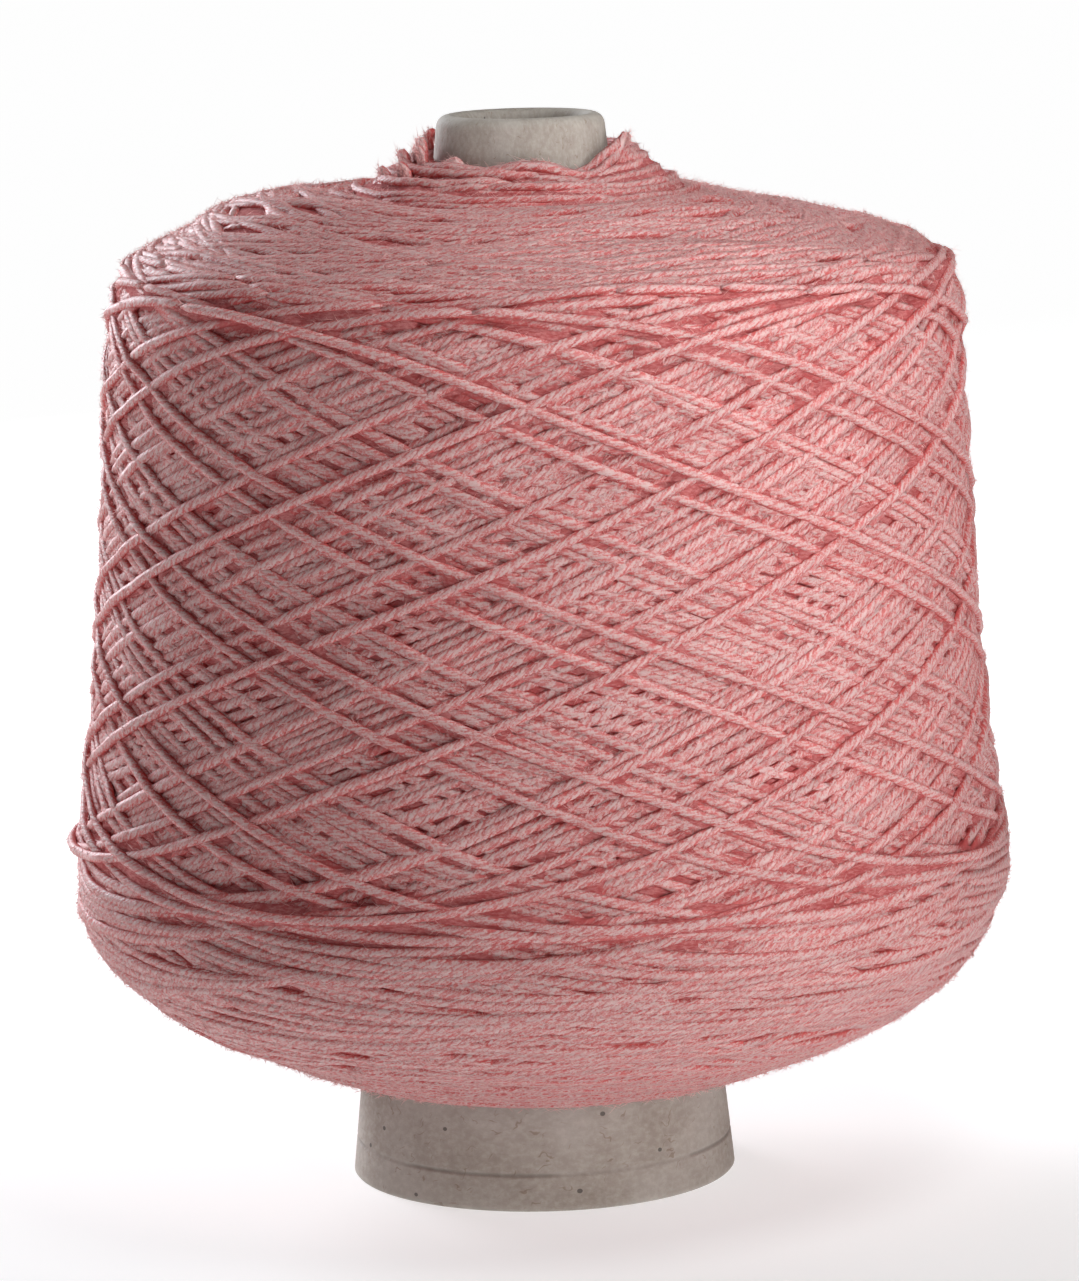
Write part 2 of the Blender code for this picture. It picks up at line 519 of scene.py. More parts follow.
@dataclass(frozen=True)
class PaperFinish:
    """Matt grey-beige wound board with brown fibres, dark specks and rubbed edges, a painted highlight
    along its foot edge and painted shade in its score groove and nose crimps.

    Each entry of hairs is the turn, the stretch and the scale of one set of brown fibres. Each
    share says how much of its colour a mark takes on.
    """

    pale: Colour = (0.41, 0.37, 0.33)
    dull: Colour = (0.31, 0.265, 0.225)
    fibre: Colour = (0.20, 0.125, 0.08)
    speck: Colour = (0.07, 0.06, 0.055)
    # Paler colour of rubbed patches and edges; along the foot edge it is also a painted highlight.
    rubbed: Colour = (0.60, 0.57, 0.52)
    # Dark colour of the board's grain, and of the painted shade in its creases.
    shade: Colour = (0.16, 0.14, 0.125)
    hairs: tuple[tuple[float, float, float], ...] = ((0.35, 0.22, 1.9), (1.15, 0.25, 1.7))
    hair_warp: float = 7.0
    hair_range: Span = (0.69, 0.76)
    hair_share: float = 0.5
    speck_scale: float = 0.28
    speck_radius: float = 0.10
    speck_rarity: float = 0.62
    speck_share: float = 0.8
    mottle_share: float = 0.35
    grain_share: float = 0.22
    edge_wear_and_highlight_share: float = 0.55
    crease_shade_share: float = 0.75
    mottle_depth: float = 0.12 * MM
    grain_depth: float = 0.05 * MM

    def hair(
        self,
        bench: NodeBench,
        round_it: object,
        along: object,
        warp: object,
        kind: tuple[float, float, float],
    ) -> Socket:
        """Show one set of brown fibres.

        Args:
            bench: The material's bench.
            round_it: Way round the cone, in mm.
            along: Way along its section, in mm.
            warp: How far the fibres bend aside, in mm.
            kind: The set's turn, stretch and scale.

        Returns:
            Where its fibres lie, from 0 to 1.
        """
        turn, stretch, scale = kind
        along_it = bench.plus(
            bench.times(round_it, math.cos(turn)), bench.times(along, math.sin(turn))
        )
        across = bench.minus(
            bench.times(along, math.cos(turn)), bench.times(round_it, math.sin(turn))
        )
        place = bench.vector(bench.times(along_it, stretch), bench.plus(across, warp), turn)
        return bench.ramp(bench.noise(place, scale, 1.0), *self.hair_range)

    def make(self) -> Material:
        """Make the material of the paper cone, from its map in mm round and along the section.

        Returns:
            The material.
        """
        bench = NodeBench("grey_board")
        round_it, along = bench.uv(STRAND_MAP)
        flat = bench.vector(round_it, along, 0.0)
        cloud = bench.noise(flat, 0.09, 3.0, 0.6)
        mottle = bench.noise(flat, 0.9, 4.0, 0.65)
        grain = bench.noise(flat, 5.0, 3.0, 0.7)
        cells = {"Vector": flat, "Scale": self.speck_scale, "Randomness": 1.0}
        cells = bench.node("TexVoronoi", cells)
        chance = bench.node("SeparateXYZ", {0: cells.outputs["Color"]}).outputs[0]
        dot = bench.math("LESS_THAN", cells.outputs["Distance"], self.speck_radius)
        dot = bench.times(dot, bench.math("GREATER_THAN", chance, self.speck_rarity))
        warp = bench.times(bench.noise(flat, 0.35, 2.0), self.hair_warp)
        hairs = [self.hair(bench, round_it, along, warp, kind) for kind in self.hairs]
        colour = bench.mix(bench.ramp(cloud, 0.3, 0.7), self.dull, self.pale)
        for mark, share, paint in (
            (bench.ramp(mottle, 0.35, 0.75), self.mottle_share, self.rubbed),
            (bench.ramp(grain, 0.55, 0.8), self.grain_share, self.shade),
            *((hair, self.hair_share, self.fibre) for hair in hairs),
            (dot, self.speck_share, self.speck),
            # Rubbed wear at the foot and the lip, with a painted highlight along the foot edge.
            (bench.value("edge_wear_and_highlight"), self.edge_wear_and_highlight_share, self.rubbed),
            # Painted shade: darker in the score groove and the crimp valleys of the nose.
            (bench.value("crease_shade"), self.crease_shade_share, self.shade),
        ):
            colour = bench.mix(bench.times(mark, share), colour, paint)
        relief = bench.bump(mottle, self.mottle_depth, 0.6)
        relief = bench.bump(grain, self.grain_depth, 0.6, relief)
        rough = bench.math("MULTIPLY_ADD", mottle, 0.18, 0.68)
        return bench.finish(bench.matt(colour, rough, 0.3, relief))


@dataclass(frozen=True)
class GroundFinish:
    """Plain white studio ground, which glows less near dim_place, in front of the package."""

    white: Colour = (0.46, 0.46, 0.463)
    soft: Colour = (0.44, 0.44, 0.443)
    glow: float = 0.45
    far_glow: float = 0.98
    dim_place: tuple[float, float, float] = (0.0, -0.35, 0.0)
    dim_reach: Span = (0.14, 0.64)

    def make(self) -> Material:
        """Make the material of the ground.

        Returns:
            The material.
        """
        bench = NodeBench("studio_ground")
        place = bench.node("TexCoord", {}).outputs["Object"]
        colour = bench.mix(bench.noise(place, 3.0), self.soft, self.white)
        to_dim = {0: place, 1: self.dim_place}
        away = bench.node("VectorMath", to_dim, operation="DISTANCE").outputs["Value"]
        spare = self.far_glow - self.glow
        lit = bench.math("MULTIPLY_ADD", bench.ramp(away, *self.dim_reach), spare, self.glow)
        shader = bench.matt(colour, 0.9, 0.1)
        bench.wire((1.0, 1.0, 1.0), shader.inputs["Emission Color"])
        bench.wire(lit, shader.inputs["Emission Strength"])
        return bench.finish(shader)


# ---- Form of the package


class Ring(NamedTuple):
    """A ring of the package's skin: its height and its reach to the left and right, in mm."""

    height: float
    left: float
    right: float


PACKAGE_RINGS = (
    Ring(166.4, 15.2, 15.2),
    Ring(165.2, 17.6, 17.8),
    Ring(160.6, 21.8, 22.6),
    Ring(158.5, 27.0, 26.6),
    Ring(158.0, 35.5, 32.6),
    Ring(156.3, 45.0, 41.0),
    Ring(153.4, 52.4, 51.0),
    Ring(150.3, 58.9, 60.0),
    Ring(146.8, 63.4, 66.0),
    Ring(141.3, 65.6, 68.7),
    Ring(132.0, 66.8, 69.2),
    Ring(116.0, 67.6, 70.0),
    Ring(100.0, 68.8, 70.6),
    Ring(84.0, 70.2, 71.6),
    Ring(70.0, 71.6, 73.2),
    Ring(60.0, 73.4, 74.4),
    Ring(52.0, 73.8, 75.4),
    Ring(45.5, 73.4, 75.0),
    Ring(39.5, 71.2, 72.2),
    Ring(34.0, 66.6, 68.2),
    Ring(29.0, 60.0, 62.4),
    Ring(25.0, 51.4, 55.0),
    Ring(21.5, 43.6, 46.6),
    Ring(18.5, 36.4, 38.2),
    Ring(16.6, 31.4, 32.0),
)


class Path(NamedTuple):
    """A strand's way over the package: azimuth, way down the section and length, all even steps."""

    azimuth: Array
    down: Array
    step: float


@dataclass
class PackageForm:
    """The package's outer skin, by azimuth and by the way down its section from the nose.

    Lengths inside are in mm, as the strands are laid in mm. Points come out in metres.
    """

    rings: tuple[Ring, ...] = PACKAGE_RINGS
    rows: int = 1200
    collar_middle: float = 15.4
    collar_reach: float = 24.0
    collar_rise: tuple[tuple[float, float], ...] = (
        (-165.0, -2.6),
        (-145.0, -2.9),
        (-125.0, -3.0),
        (-102.0, -3.2),
        (-85.0, -3.0),
        (-70.0, -4.1),
        (-59.0, -5.2),
        (-48.0, -4.5),
        (-38.0, -3.0),
        (-20.0, -1.7),
        (0.0, -1.5),
        (45.0, -1.0),
        (90.0, -0.9),
        (135.0, -1.2),
        (180.0, -2.4),
    )
    crown_tilt: float = 1.0
    crown_lobes: int = 3
    crown_lobe: float = 0.7
    crown_phase: float = 2.4
    crown_middle: float = 40.0
    crown_half_width: float = 19.0
    face_from: float = 148.0
    down: Array = field(init=False)
    height: Array = field(init=False)
    radius: Array = field(init=False)
    shift: Array = field(init=False)
    out: Array = field(init=False)
    up: Array = field(init=False)

    def __post_init__(self) -> None:
        """Work out the smooth section through the rings."""
        self.height, left, right = self.through(np.array(self.rings, dtype=float)).T
        self.radius = 0.5 * (left + right)
        self.shift = 0.5 * (right - left)
        self.down = running_total(np.hypot(np.diff(self.radius), np.diff(self.height)))
        slope_out = np.gradient(self.radius, self.down)
        slope_up = np.gradient(self.height, self.down)
        size = np.hypot(slope_out, slope_up)
        self.out = -slope_up / size
        self.up = slope_out / size

    def through(self, points: Array) -> Array:
        """Take even steps along a smooth curve.

        Args:
            points: Rows that the curve goes through.

        Returns:
            As many points of it as the section has rows.
        """
        lengths = step_lengths(points)
        knots = running_total(lengths)
        slopes = np.gradient(points, knots, axis=0)
        at = np.linspace(0.0, knots[-1], self.rows)
        index = np.clip(np.searchsorted(knots, at, side="right") - 1, 0, len(lengths) - 1)
        span = lengths[index][:, None]
        t = ((at - knots[index]) / lengths[index])[:, None]
        return (
            (1.0 + 2.0 * t) * (1.0 - t) ** 2 * points[index]
            + t * t * (3.0 - 2.0 * t) * points[index + 1]
            + t * (1.0 - t) ** 2 * span * slopes[index]
            + t * t * (t - 1.0) * span * slopes[index + 1]
        )

    @property
    def length(self) -> float:
        """Length of the section from the collar to the underside."""
        return float(self.down[-1])

    def down_at_height(self, height: float) -> float:
        """Way down the section to a height."""
        return float(np.interp(-height, -self.height, self.down))

    def down_at_radius(self, radius: float, top: bool) -> float:
        """Way down the section to a radius.

        Args:
            radius: The radius, in mm.
            top: Whether it is one on the top face or on the underside.

        Returns:
            The way down, in mm.
        """
        widest = int(np.argmax(self.radius))
        if top:
            return float(np.interp(radius, self.radius[:widest], self.down[:widest]))
        return float(np.interp(-radius, -self.radius[widest:], self.down[widest:]))

    def radius_at(self, down: Array) -> Array:
        """Radius at a way down the section."""
        return np.interp(down, self.down, self.radius)

    def relief(self, azimuth: Array, radius: Array, height: Array) -> Array:
        """Work out what the uneven collar and the humps of the top face add.

        Args:
            azimuth: Angles round the axis.
            radius: Radii there, in mm.
            height: Heights there, in mm.

        Returns:
            Heights to add, in mm.
        """
        collar_away = np.abs(radius - self.collar_middle) / (self.collar_reach - self.collar_middle)
        crown_away = np.abs(radius - self.crown_middle) / self.crown_half_width
        places, rises = np.array(self.collar_rise).T
        rise = np.interp(np.degrees(azimuth), places, rises, period=360.0)
        humps = self.crown_lobe * np.cos(self.crown_lobes * azimuth + self.crown_phase)
        humps = humps - self.crown_tilt * np.cos(azimuth)
        added = cosine_hump(collar_away) * rise + cosine_hump(crown_away) * humps
        return np.where(height > self.face_from, added, 0.0)

    def points(self, azimuth: Array, down: Array, lift: Array) -> tuple[Array, Array]:
        """Points over the skin.

        Args:
            azimuth: Angles round the axis.
            down: Ways down the section, in mm.
            lift: Heights over the skin, in mm.

        Returns:
            The points in metres, and the skin's outward directions.
        """
        section = (self.radius, self.height, self.shift, self.out, self.up)
        radius, height, shift, out, up = (np.interp(down, self.down, row) for row in section)
        normal = np.stack([out * np.cos(azimuth), out * np.sin(azimuth), up], axis=-1)
        base = np.stack(
            [
                shift + radius * np.cos(azimuth),
                radius * np.sin(azimuth),
                height + self.relief(azimuth, radius, height),
            ],
            axis=-1,
        )
        return (base + normal * np.asarray(lift)[..., None]) * MM, normal

    def even_path(self, azimuth: Array, down: Array, step: float = 0.3) -> Path:
        """Re-step a way over the skin so that its points are an even length apart.

        Args:
            azimuth: Angles of its points round the axis.
            down: Their ways down the section, in mm.
            step: Roughly how far apart the new points are, in mm.

        Returns:
            The way.
        """
        points, _ = self.points(azimuth, down, np.zeros_like(azimuth))
        at = running_total(step_lengths(points) / MM)
        count = max(int(at[-1] / step) + 1, 4)
        even = np.linspace(0.0, at[-1], count)
        step = float(even[1] - even[0])
        return Path(np.interp(even, at, azimuth), np.interp(even, at, down), step)


# ---- Laying the yarn


class Winding(Enum):
    """The windings of the package, by the name of the piece that holds each."""

    TOP_FACE = "yarn_top_face"
    UNDERSIDE = "yarn_underside"
    FULL = "yarn_side_full"
    RIBBONS = "yarn_side_ribbons"
    SINGLES = "yarn_side_singles"
    COLLAR = "yarn_collar"


class Strand(NamedTuple):
    """One laid strand: its winding, its way, its middle's height over the body, and its look."""

    winding: Winding
    azimuth: Array
    down: Array
    lift: Array
    step: float
    tone: float


@dataclass
class WoundSurface:
    """Height of the yarn laid so far, as a grid round and down the package.

    Lengths are in mm. A strand rests on what lies under it, taut enough to bridge small hollows,
    and half_width and half_height are those of the strand as it presses on the next ones.
    """

    form: PackageForm
    columns: int = 752
    pitch: float = 0.6
    half_width: float = 0.86
    half_height: float = 0.50
    bridge_radius: float = 42.0
    bridge_reach: float = 11.0
    sink_reach: float = 8.0
    tautness: float = 0.10
    ease: float = 2.4
    spread: float = 9.0
    near_spread: float = 3.0
    firmness: float = 0.95
    collar_spread: float = 1.4
    collar_width: float = 20.0
    laid: list[Strand] = field(default_factory=list)
    grid: Array = field(init=False)
    pressed: Array = field(init=False)

    def __post_init__(self) -> None:
        """Start with the bare body."""
        rows = int(self.form.length / self.pitch) + 2
        self.grid = np.zeros((rows, self.columns))
        self.pressed = np.zeros_like(self.grid)

    def cells(self, azimuth: Array, down: Array) -> tuple[Array, Array]:
        """Find the cells that places on the package lie in.

        Args:
            azimuth: Angles round the axis.
            down: Ways down the section, in mm.

        Returns:
            Their rows and columns.
        """
        row = np.clip(np.rint(down / self.pitch).astype(int), 0, len(self.grid) - 1)
        column = np.rint(azimuth / TURN * self.columns).astype(int) % self.columns
        return row, column

    def beside(self, path: Path, offset: float) -> tuple[Array, Array]:
        """Move a way sideways on the skin.

        Args:
            path: The way.
            offset: How far it is moved, in mm.

        Returns:
            Its azimuths and ways down.
        """
        radius = np.maximum(self.form.radius_at(path.down), 5.0)
        round_it = np.gradient(path.azimuth) * radius
        along = np.gradient(path.down)
        size = np.maximum(np.hypot(round_it, along), 1e-9)
        azimuth = path.azimuth - along / size * offset / radius
        return azimuth, path.down + round_it / size * offset

    def support(self, path: Path) -> Array:
        """Feel how high the yarn laid so far stands under a way.

        Args:
            path: The way.

        Returns:
            Height under each of its points, in mm.
        """
        found = np.zeros(len(path.azimuth))
        for offset in (-0.5, 0.0, 0.5):
            row, column = self.cells(*self.beside(path, offset))
            for side in (-1, 0, 1):
                near = (column + side) % self.columns
                found = np.maximum(found, self.grid[row, near] - self.pressed[row, near])
        return found

    def settle(self, path: Path, bite: float) -> Array:
        """Heights at which a strand comes to rest.

        Args:
            path: The strand's way.
            bite: How far it sinks into what lies under it, as a share of its half height.

        Returns:
            Height of its middle at every point.
        """
        under = self.support(path)
        reach = min(int(self.bridge_reach / path.step), len(under) - 1)
        taut = under.copy()
        for away in range(1, reach + 1):
            drop = (away * path.step) ** 2 / (2.0 * self.bridge_radius)
            taut[away:] = np.maximum(taut[away:], under[:-away] - drop)
            taut[:-away] = np.maximum(taut[:-away], under[away:] - drop)
        sunk = evened(under, self.sink_reach / path.step)
        rest = sunk + self.tautness * (taut - sunk)
        lift = rest + self.half_height * (1.0 - bite) + self.pressed[self.cells(*path[:2])]
        return evened(lift, self.ease / path.step)

    def press(self, path: Path, lift: Array) -> None:
        """Add a strand to the surface.

        Args:
            path: The strand's way.
            lift: Height of its middle at every point.
        """
        for offset in np.arange(-3, 4) / 4.0:
            row, column = self.cells(*self.beside(path, offset))
            round_off = math.sqrt(max(1.0 - (offset / self.half_width) ** 2, 0.0))
            np.maximum.at(self.grid, (row, column), lift + self.half_height * round_off)

    def keep(self, winding: Winding, path: Path, lift: Array, random: Random) -> None:
        """Note down a settled strand, with a tone of its own."""
        tone = random.uniform(0.0, 1.0)
        self.laid.append(Strand(winding, path.azimuth, path.down, lift, path.step, tone))

    def lay_tucked(
        self,
        winding: Winding,
        path: Path,
        bite: float,
        tucked: Span,
        random: Random,
    ) -> None:
        """Lay a strand whose two ends dive under its neighbours.

        Args:
            winding: The winding that it is part of.
            path: The strand's way.
            bite: How far it sinks into what lies under it, as a share of its half height.
            tucked: How far from an end it starts to dive, and how deep it goes, in mm.
            random: Source of its tone.
        """
        lift = self.settle(path, bite)
        from_end = np.arange(len(lift)) * path.step
        from_end = np.minimum(from_end, from_end[::-1])
        lift = lift - tucked[1] * (1.0 - smooth_step(from_end / tucked[0]))
        self.press(path, lift)
        self.keep(winding, path, lift, random)

    def blurred(self, spread: float) -> Array:
        """Even out the surface.

        Args:
            spread: Over how wide a spread, in mm.

        Returns:
            The evened grid.
        """
        reach = int(3.0 * spread / self.pitch)
        padded = np.pad(self.grid, ((reach, reach), (0, 0)), mode="edge")
        down = np.fft.fftfreq(padded.shape[0])[:, None]
        around = np.fft.rfftfreq(padded.shape[1])[None, :]
        keep = np.exp(-2.0 * (math.pi * spread / self.pitch) ** 2 * (down**2 + around**2))
        return np.fft.irfft2(np.fft.rfft2(padded) * keep, s=padded.shape)[reach:-reach]

    def iron(self) -> None:
        """Let the soft yarn give way: work out how far its heaps are pressed in, by place."""
        wide = self.blurred(self.spread)
        self.pressed = wide + self.firmness * (self.blurred(self.near_spread) - wide)
        edge = int(self.collar_width / self.pitch)
        share = smooth_step(np.arange(edge) / edge)[:, None]
        collar = self.blurred(self.collar_spread)[:edge]
        self.pressed[:edge] = collar + share * (self.pressed[:edge] - collar)

    def squash(self, share: float) -> None:
        """Flatten everything laid so far, as the next layers bind it down.

        Args:
            share: Share of its unevenness that stays.
        """
        self.iron()
        level = self.pressed
        self.grid = level + share * (self.grid - level)
        for index, strand in enumerate(self.laid):
            here = level[self.cells(strand.azimuth, strand.down)]
            here = evened(here, self.ease / strand.step)
            self.laid[index] = strand._replace(lift=here + share * (strand.lift - here))

    def filled(self) -> Array:
        """Fill the slits of the surface and leave out its lone strands.

        It is raised by the cells next to each, then lowered by them twice.

        Returns:
            The filled grid.
        """
        level = self.grid
        for pick in (np.maximum, np.minimum, np.minimum):
            for axis in (0, 1):
                level = pick(pick(level, np.roll(level, 1, axis)), np.roll(level, -1, axis))
        return level

    def top_at(self, azimuth: Array, down: Array) -> Array:
        """Height of the finished surface at places on the package."""
        row, column = self.cells(azimuth, down)
        return self.grid[row, column]


@dataclass(frozen=True)
class TurnBack:
    """How a strand turns back at the end of its stroke.

    Near the turn it follows a parabola, and away from it a straight climb at the same slope.
    """

    sharpness: float = 16.2
    sharpness_radius: float = 71.0

    def rate(self, radius: float) -> float:
        """Way down per squared radian at a turn of a given radius."""
        return self.sharpness * radius / self.sharpness_radius

    def stroke(self, span: float, turn: float, steps: int) -> tuple[Array, Array]:
        """One stroke from turn to turn.

        Args:
            span: Way down from one turn to the other.
            turn: Angle that the strand goes round meanwhile.
            steps: Number of points.

        Returns:
            Angles from 0 to turn, and ways down from 0 to span.
        """
        room = turn * turn - 2.0 * span / self.sharpness
        curved = 0.5 * (turn - math.sqrt(room)) if room > 0.0 else 0.5 * turn
        slope = span / (turn - curved)
        bend = slope / (2.0 * curved)
        angle = np.linspace(0.0, turn, steps)
        down = np.where(
            angle < curved,
            bend * angle**2,
            np.where(
                angle > turn - curved,
                span - bend * (turn - angle) ** 2,
                bend * curved**2 + slope * (angle - curved),
            ),
        )
        return angle, down


@dataclass(frozen=True)
class Layer:
    """One layer of the cross winding, laid as rounds of double strokes.

    crossings / starts is how many turns a double stroke makes, and shift is how far each round
    lies from the one before, in degrees. low and high are the heights in mm at which the strokes
    turn back, for the first and the last round.
    """

    winding: Winding
    rounds: int
    shift: float
    crossings: int
    low: tuple[float, float]
    high: tuple[float, float]
    jump: float
    bite: float


class DoubleStroke(NamedTuple):
    """A planned stroke down and up again: its first azimuth, its angle, and its turns' ways down."""

    layer: Layer
    azimuth: float
    turn: float
    high: float
    low: float


@dataclass
class SideWinding:
    """The cross winding on the package's side: one long yarn, stroke after stroke.

    carried is the length in mm over which a stroke takes over the height of the one before, and
    sway how far a strand strays from its way.
    """

    form: PackageForm
    surface: WoundSurface
    starts: int = 7
    last_turn: float = -144.0
    low_jitter: float = 0.5
    high_jitter: float = 0.4
    angle_jitter: float = 0.225
    sway: float = 0.25
    sway_pace: float = 2.2
    stroke_points: int = 500
    carried: float = 9.0
    flattened: float = 0.5
    layers: tuple[Layer, ...] = (
        Layer(Winding.FULL, 10, 5.14, 12, (33.0, 44.0), (154.5, 150.0), 0.0, 1.0),
        Layer(Winding.RIBBONS, 5, 4.7, 10, (45.0, 50.0), (150.5, 149.0), 17.0, 0.8),
        Layer(Winding.RIBBONS, 3, 4.3, 9, (50.0, 54.0), (149.0, 147.5), 11.0, 0.6),
        Layer(Winding.SINGLES, 2, 12.5, 9, (54.0, 56.0), (147.0, 145.0), 9.0, 0.3),
    )

    def double_strokes(self, random: Random) -> list[DoubleStroke]:
        """Plan the double strokes.

        Args:
            random: Source of the small irregularities.

        Returns:
            The strokes in order, the last one starting where the photograph shows it.
        """
        plan = []
        azimuth = 0.0
        for layer in self.layers:
            azimuth += math.radians(layer.jump)
            count = layer.rounds * self.starts
            for index in range(count):
                share = index / max(count - 1, 1)
                low = layer.low[0] + (layer.low[1] - layer.low[0]) * share
                high = layer.high[0] + (layer.high[1] - layer.high[0]) * share
                low = self.form.down_at_height(low + random.normal(0.0, self.low_jitter))
                high = self.form.down_at_height(high + random.normal(0.0, self.high_jitter))
                jitter = random.normal(0.0, self.angle_jitter)
                turn = TURN * layer.crossings / self.starts
                turn += math.radians(layer.shift / self.starts + jitter)
                plan.append(DoubleStroke(layer, azimuth, turn, high, low))
                azimuth += turn
        start = math.radians(self.last_turn) - plan[-1].azimuth
        return [stroke._replace(azimuth=stroke.azimuth + start) for stroke in plan]

    def way(self, stroke: DoubleStroke, following: float, random: Random) -> Path:
        """Draw the way of a double stroke.

        Args:
            stroke: The stroke.
            following: Way down to the upper turn that comes after it.
            random: Source of its sway.

        Returns:
            Its way.
        """
        half = 0.5 * stroke.turn
        turning = TurnBack()
        there, down = turning.stroke(stroke.low - stroke.high, half, self.stroke_points)
        back, up = turning.stroke(stroke.low - following, half, self.stroke_points)
        angles = np.concatenate([stroke.azimuth + there, stroke.azimuth + half + back[1:]])
        ways = np.concatenate([stroke.high + down, stroke.low - up[1:]])
        sway = sum(
            self.sway / order * np.sin(order * self.sway_pace * angles + phase)
            for order, phase in enumerate(random.uniform(0.0, TURN, 3), start=1)
        )
        return self.form.even_path(angles, ways + sway)

    def lay(self, random: Random) -> None:
        """Lay every double stroke on the package, in order.

        The end of each is pressed in only once the next one has taken over its height.

        Args:
            random: Source of the small irregularities.
        """
        plan = self.double_strokes(random)
        held: tuple[Path, Array] | None = None
        for index, stroke in enumerate(plan):
            if index % self.starts == 0:
                self.surface.iron()
            if index > 0 and stroke.layer is not plan[index - 1].layer:
                self.surface.squash(self.flattened)
            following = plan[index + 1].high if index + 1 < len(plan) else stroke.high
            path = self.way(stroke, following, random)
            lift = self.surface.settle(path, stroke.layer.bite)
            if held is not None:
                ease = smooth_step(np.arange(len(lift)) * path.step / self.carried)
                lift = held[1][-1] * (1.0 - ease) + lift * ease
                self.surface.press(*held)
            end = -int(self.carried / path.step)
            body = Path(path.azimuth[:end], path.down[:end], path.step)
            self.surface.press(body, lift[:end])
            held = (Path(path.azimuth[end:], path.down[end:], path.step), lift[end:])
            self.surface.keep(stroke.layer.winding, path, lift, random)
        if held is not None:
            self.surface.press(*held)


@dataclass
class FaceWinding:
    """Shingled arcs on an end face: the turning ends of the strokes of buried layers.

    The arcs go on from the inner radius to the height of the rim, each a golden turn further
    round. Lengths are in mm, and reach is the angle to either side of an arc's middle.
    """

    form: PackageForm
    surface: WoundSurface
    winding: Winding
    inner: float
    rim: float
    arcs: int
    ironed_every: int = 10
    golden: float = 0.381966
    reach: float = 1.75
    reach_range: Span = (0.85, 1.15)
    rate_range: Span = (0.7, 1.0)
    sways: tuple[Span, ...] = ((0.45, 2.6), (0.25, 5.1))
    points: int = 360
    jitter: float = 1.0
    turn_jitter: float = 0.15
    edge: float = 0.4
    bite: float = 0.35
    tucked: Span = (12.0, 2.2)

    def lay(self, random: Random) -> None:
        """Lay the arcs from the cone outwards.

        Args:
            random: Source of the small irregularities.
        """
        on_top = self.winding is Winding.TOP_FACE
        start = self.form.down_at_radius(self.inner, on_top)
        end = self.form.down_at_height(self.rim)
        golden = TURN * self.golden
        for index in range(self.arcs):
            if index % self.ironed_every == 0:
                self.surface.iron()
            share = index / (self.arcs - 1)
            way = start + (end - start) * share + random.normal(0.0, self.jitter)
            middle = index * golden + random.normal(0.0, self.turn_jitter)
            rate = TurnBack().rate(float(self.form.radius_at(np.array(way))))
            rate = rate * random.uniform(*self.rate_range)
            reach = self.reach * random.uniform(*self.reach_range)
            angle = np.linspace(-reach, reach, self.points)
            phases = random.uniform(0.0, TURN, len(self.sways))
            sway = sum(
                size * np.sin(pace * angle + phase)
                for (size, pace), phase in zip(self.sways, phases)
            )
            ways = way + (1.0 if on_top else -1.0) * rate * angle**2 + sway
            ways = np.clip(ways, self.edge, self.form.length - self.edge)
            path = self.form.even_path(middle + angle, ways)
            self.surface.lay_tucked(self.winding, path, self.bite, self.tucked, random)


@dataclass
class CollarWinding:
    """Wavy turns heaped round the nose, laid from the outer way down to the inner one, in mm."""

    form: PackageForm
    surface: WoundSurface
    turns: int = 20
    ironed_every: int = 5
    inner: float = 1.2
    outer: float = 15.5
    crowding: float = 0.9
    length: Span = (2.6, 6.6)
    points: int = 420
    sway: float = 1.3
    sway_range: Span = (0.4, 1.2)
    sway_fade: float = 0.7
    orders: tuple[int, ...] = (1, 2, 3, 5)
    within: Span = (0.6, 40.0)
    bite: float = 0.30
    tucked: Span = (9.0, 1.9)

    def lay(self, random: Random) -> None:
        """Lay the turns, each from under half to about once round.

        Args:
            random: Source of the small irregularities.
        """
        for index in range(self.turns):
            if index % self.ironed_every == 0:
                self.surface.iron()
            share = index / (self.turns - 1)
            start = random.uniform(0.0, TURN)
            angle = np.linspace(0.0, random.uniform(*self.length), self.points)
            ways = np.full_like(angle, self.outer + (self.inner - self.outer) * share**self.crowding)
            for order in self.orders:
                size = self.sway / order**self.sway_fade * random.uniform(*self.sway_range)
                ways = ways + size * np.sin(order * angle + random.uniform(0.0, TURN))
            path = self.form.even_path(start + angle, np.clip(ways, *self.within))
            self.surface.lay_tucked(Winding.COLLAR, path, self.bite, self.tucked, random)


class Course(NamedTuple):
    """A strand ready to be meshed: its middle line, outward directions and what it carries."""

    points: Array
    normals: Array
    bury: Array
    length: Array
    tone: float


class Loop(NamedTuple):
    """A slipped turn standing up at the nose: its place, top, width and lean, in degrees and mm."""

    azimuth: float
    radius: float
    top: float
    width: float
    lean: float


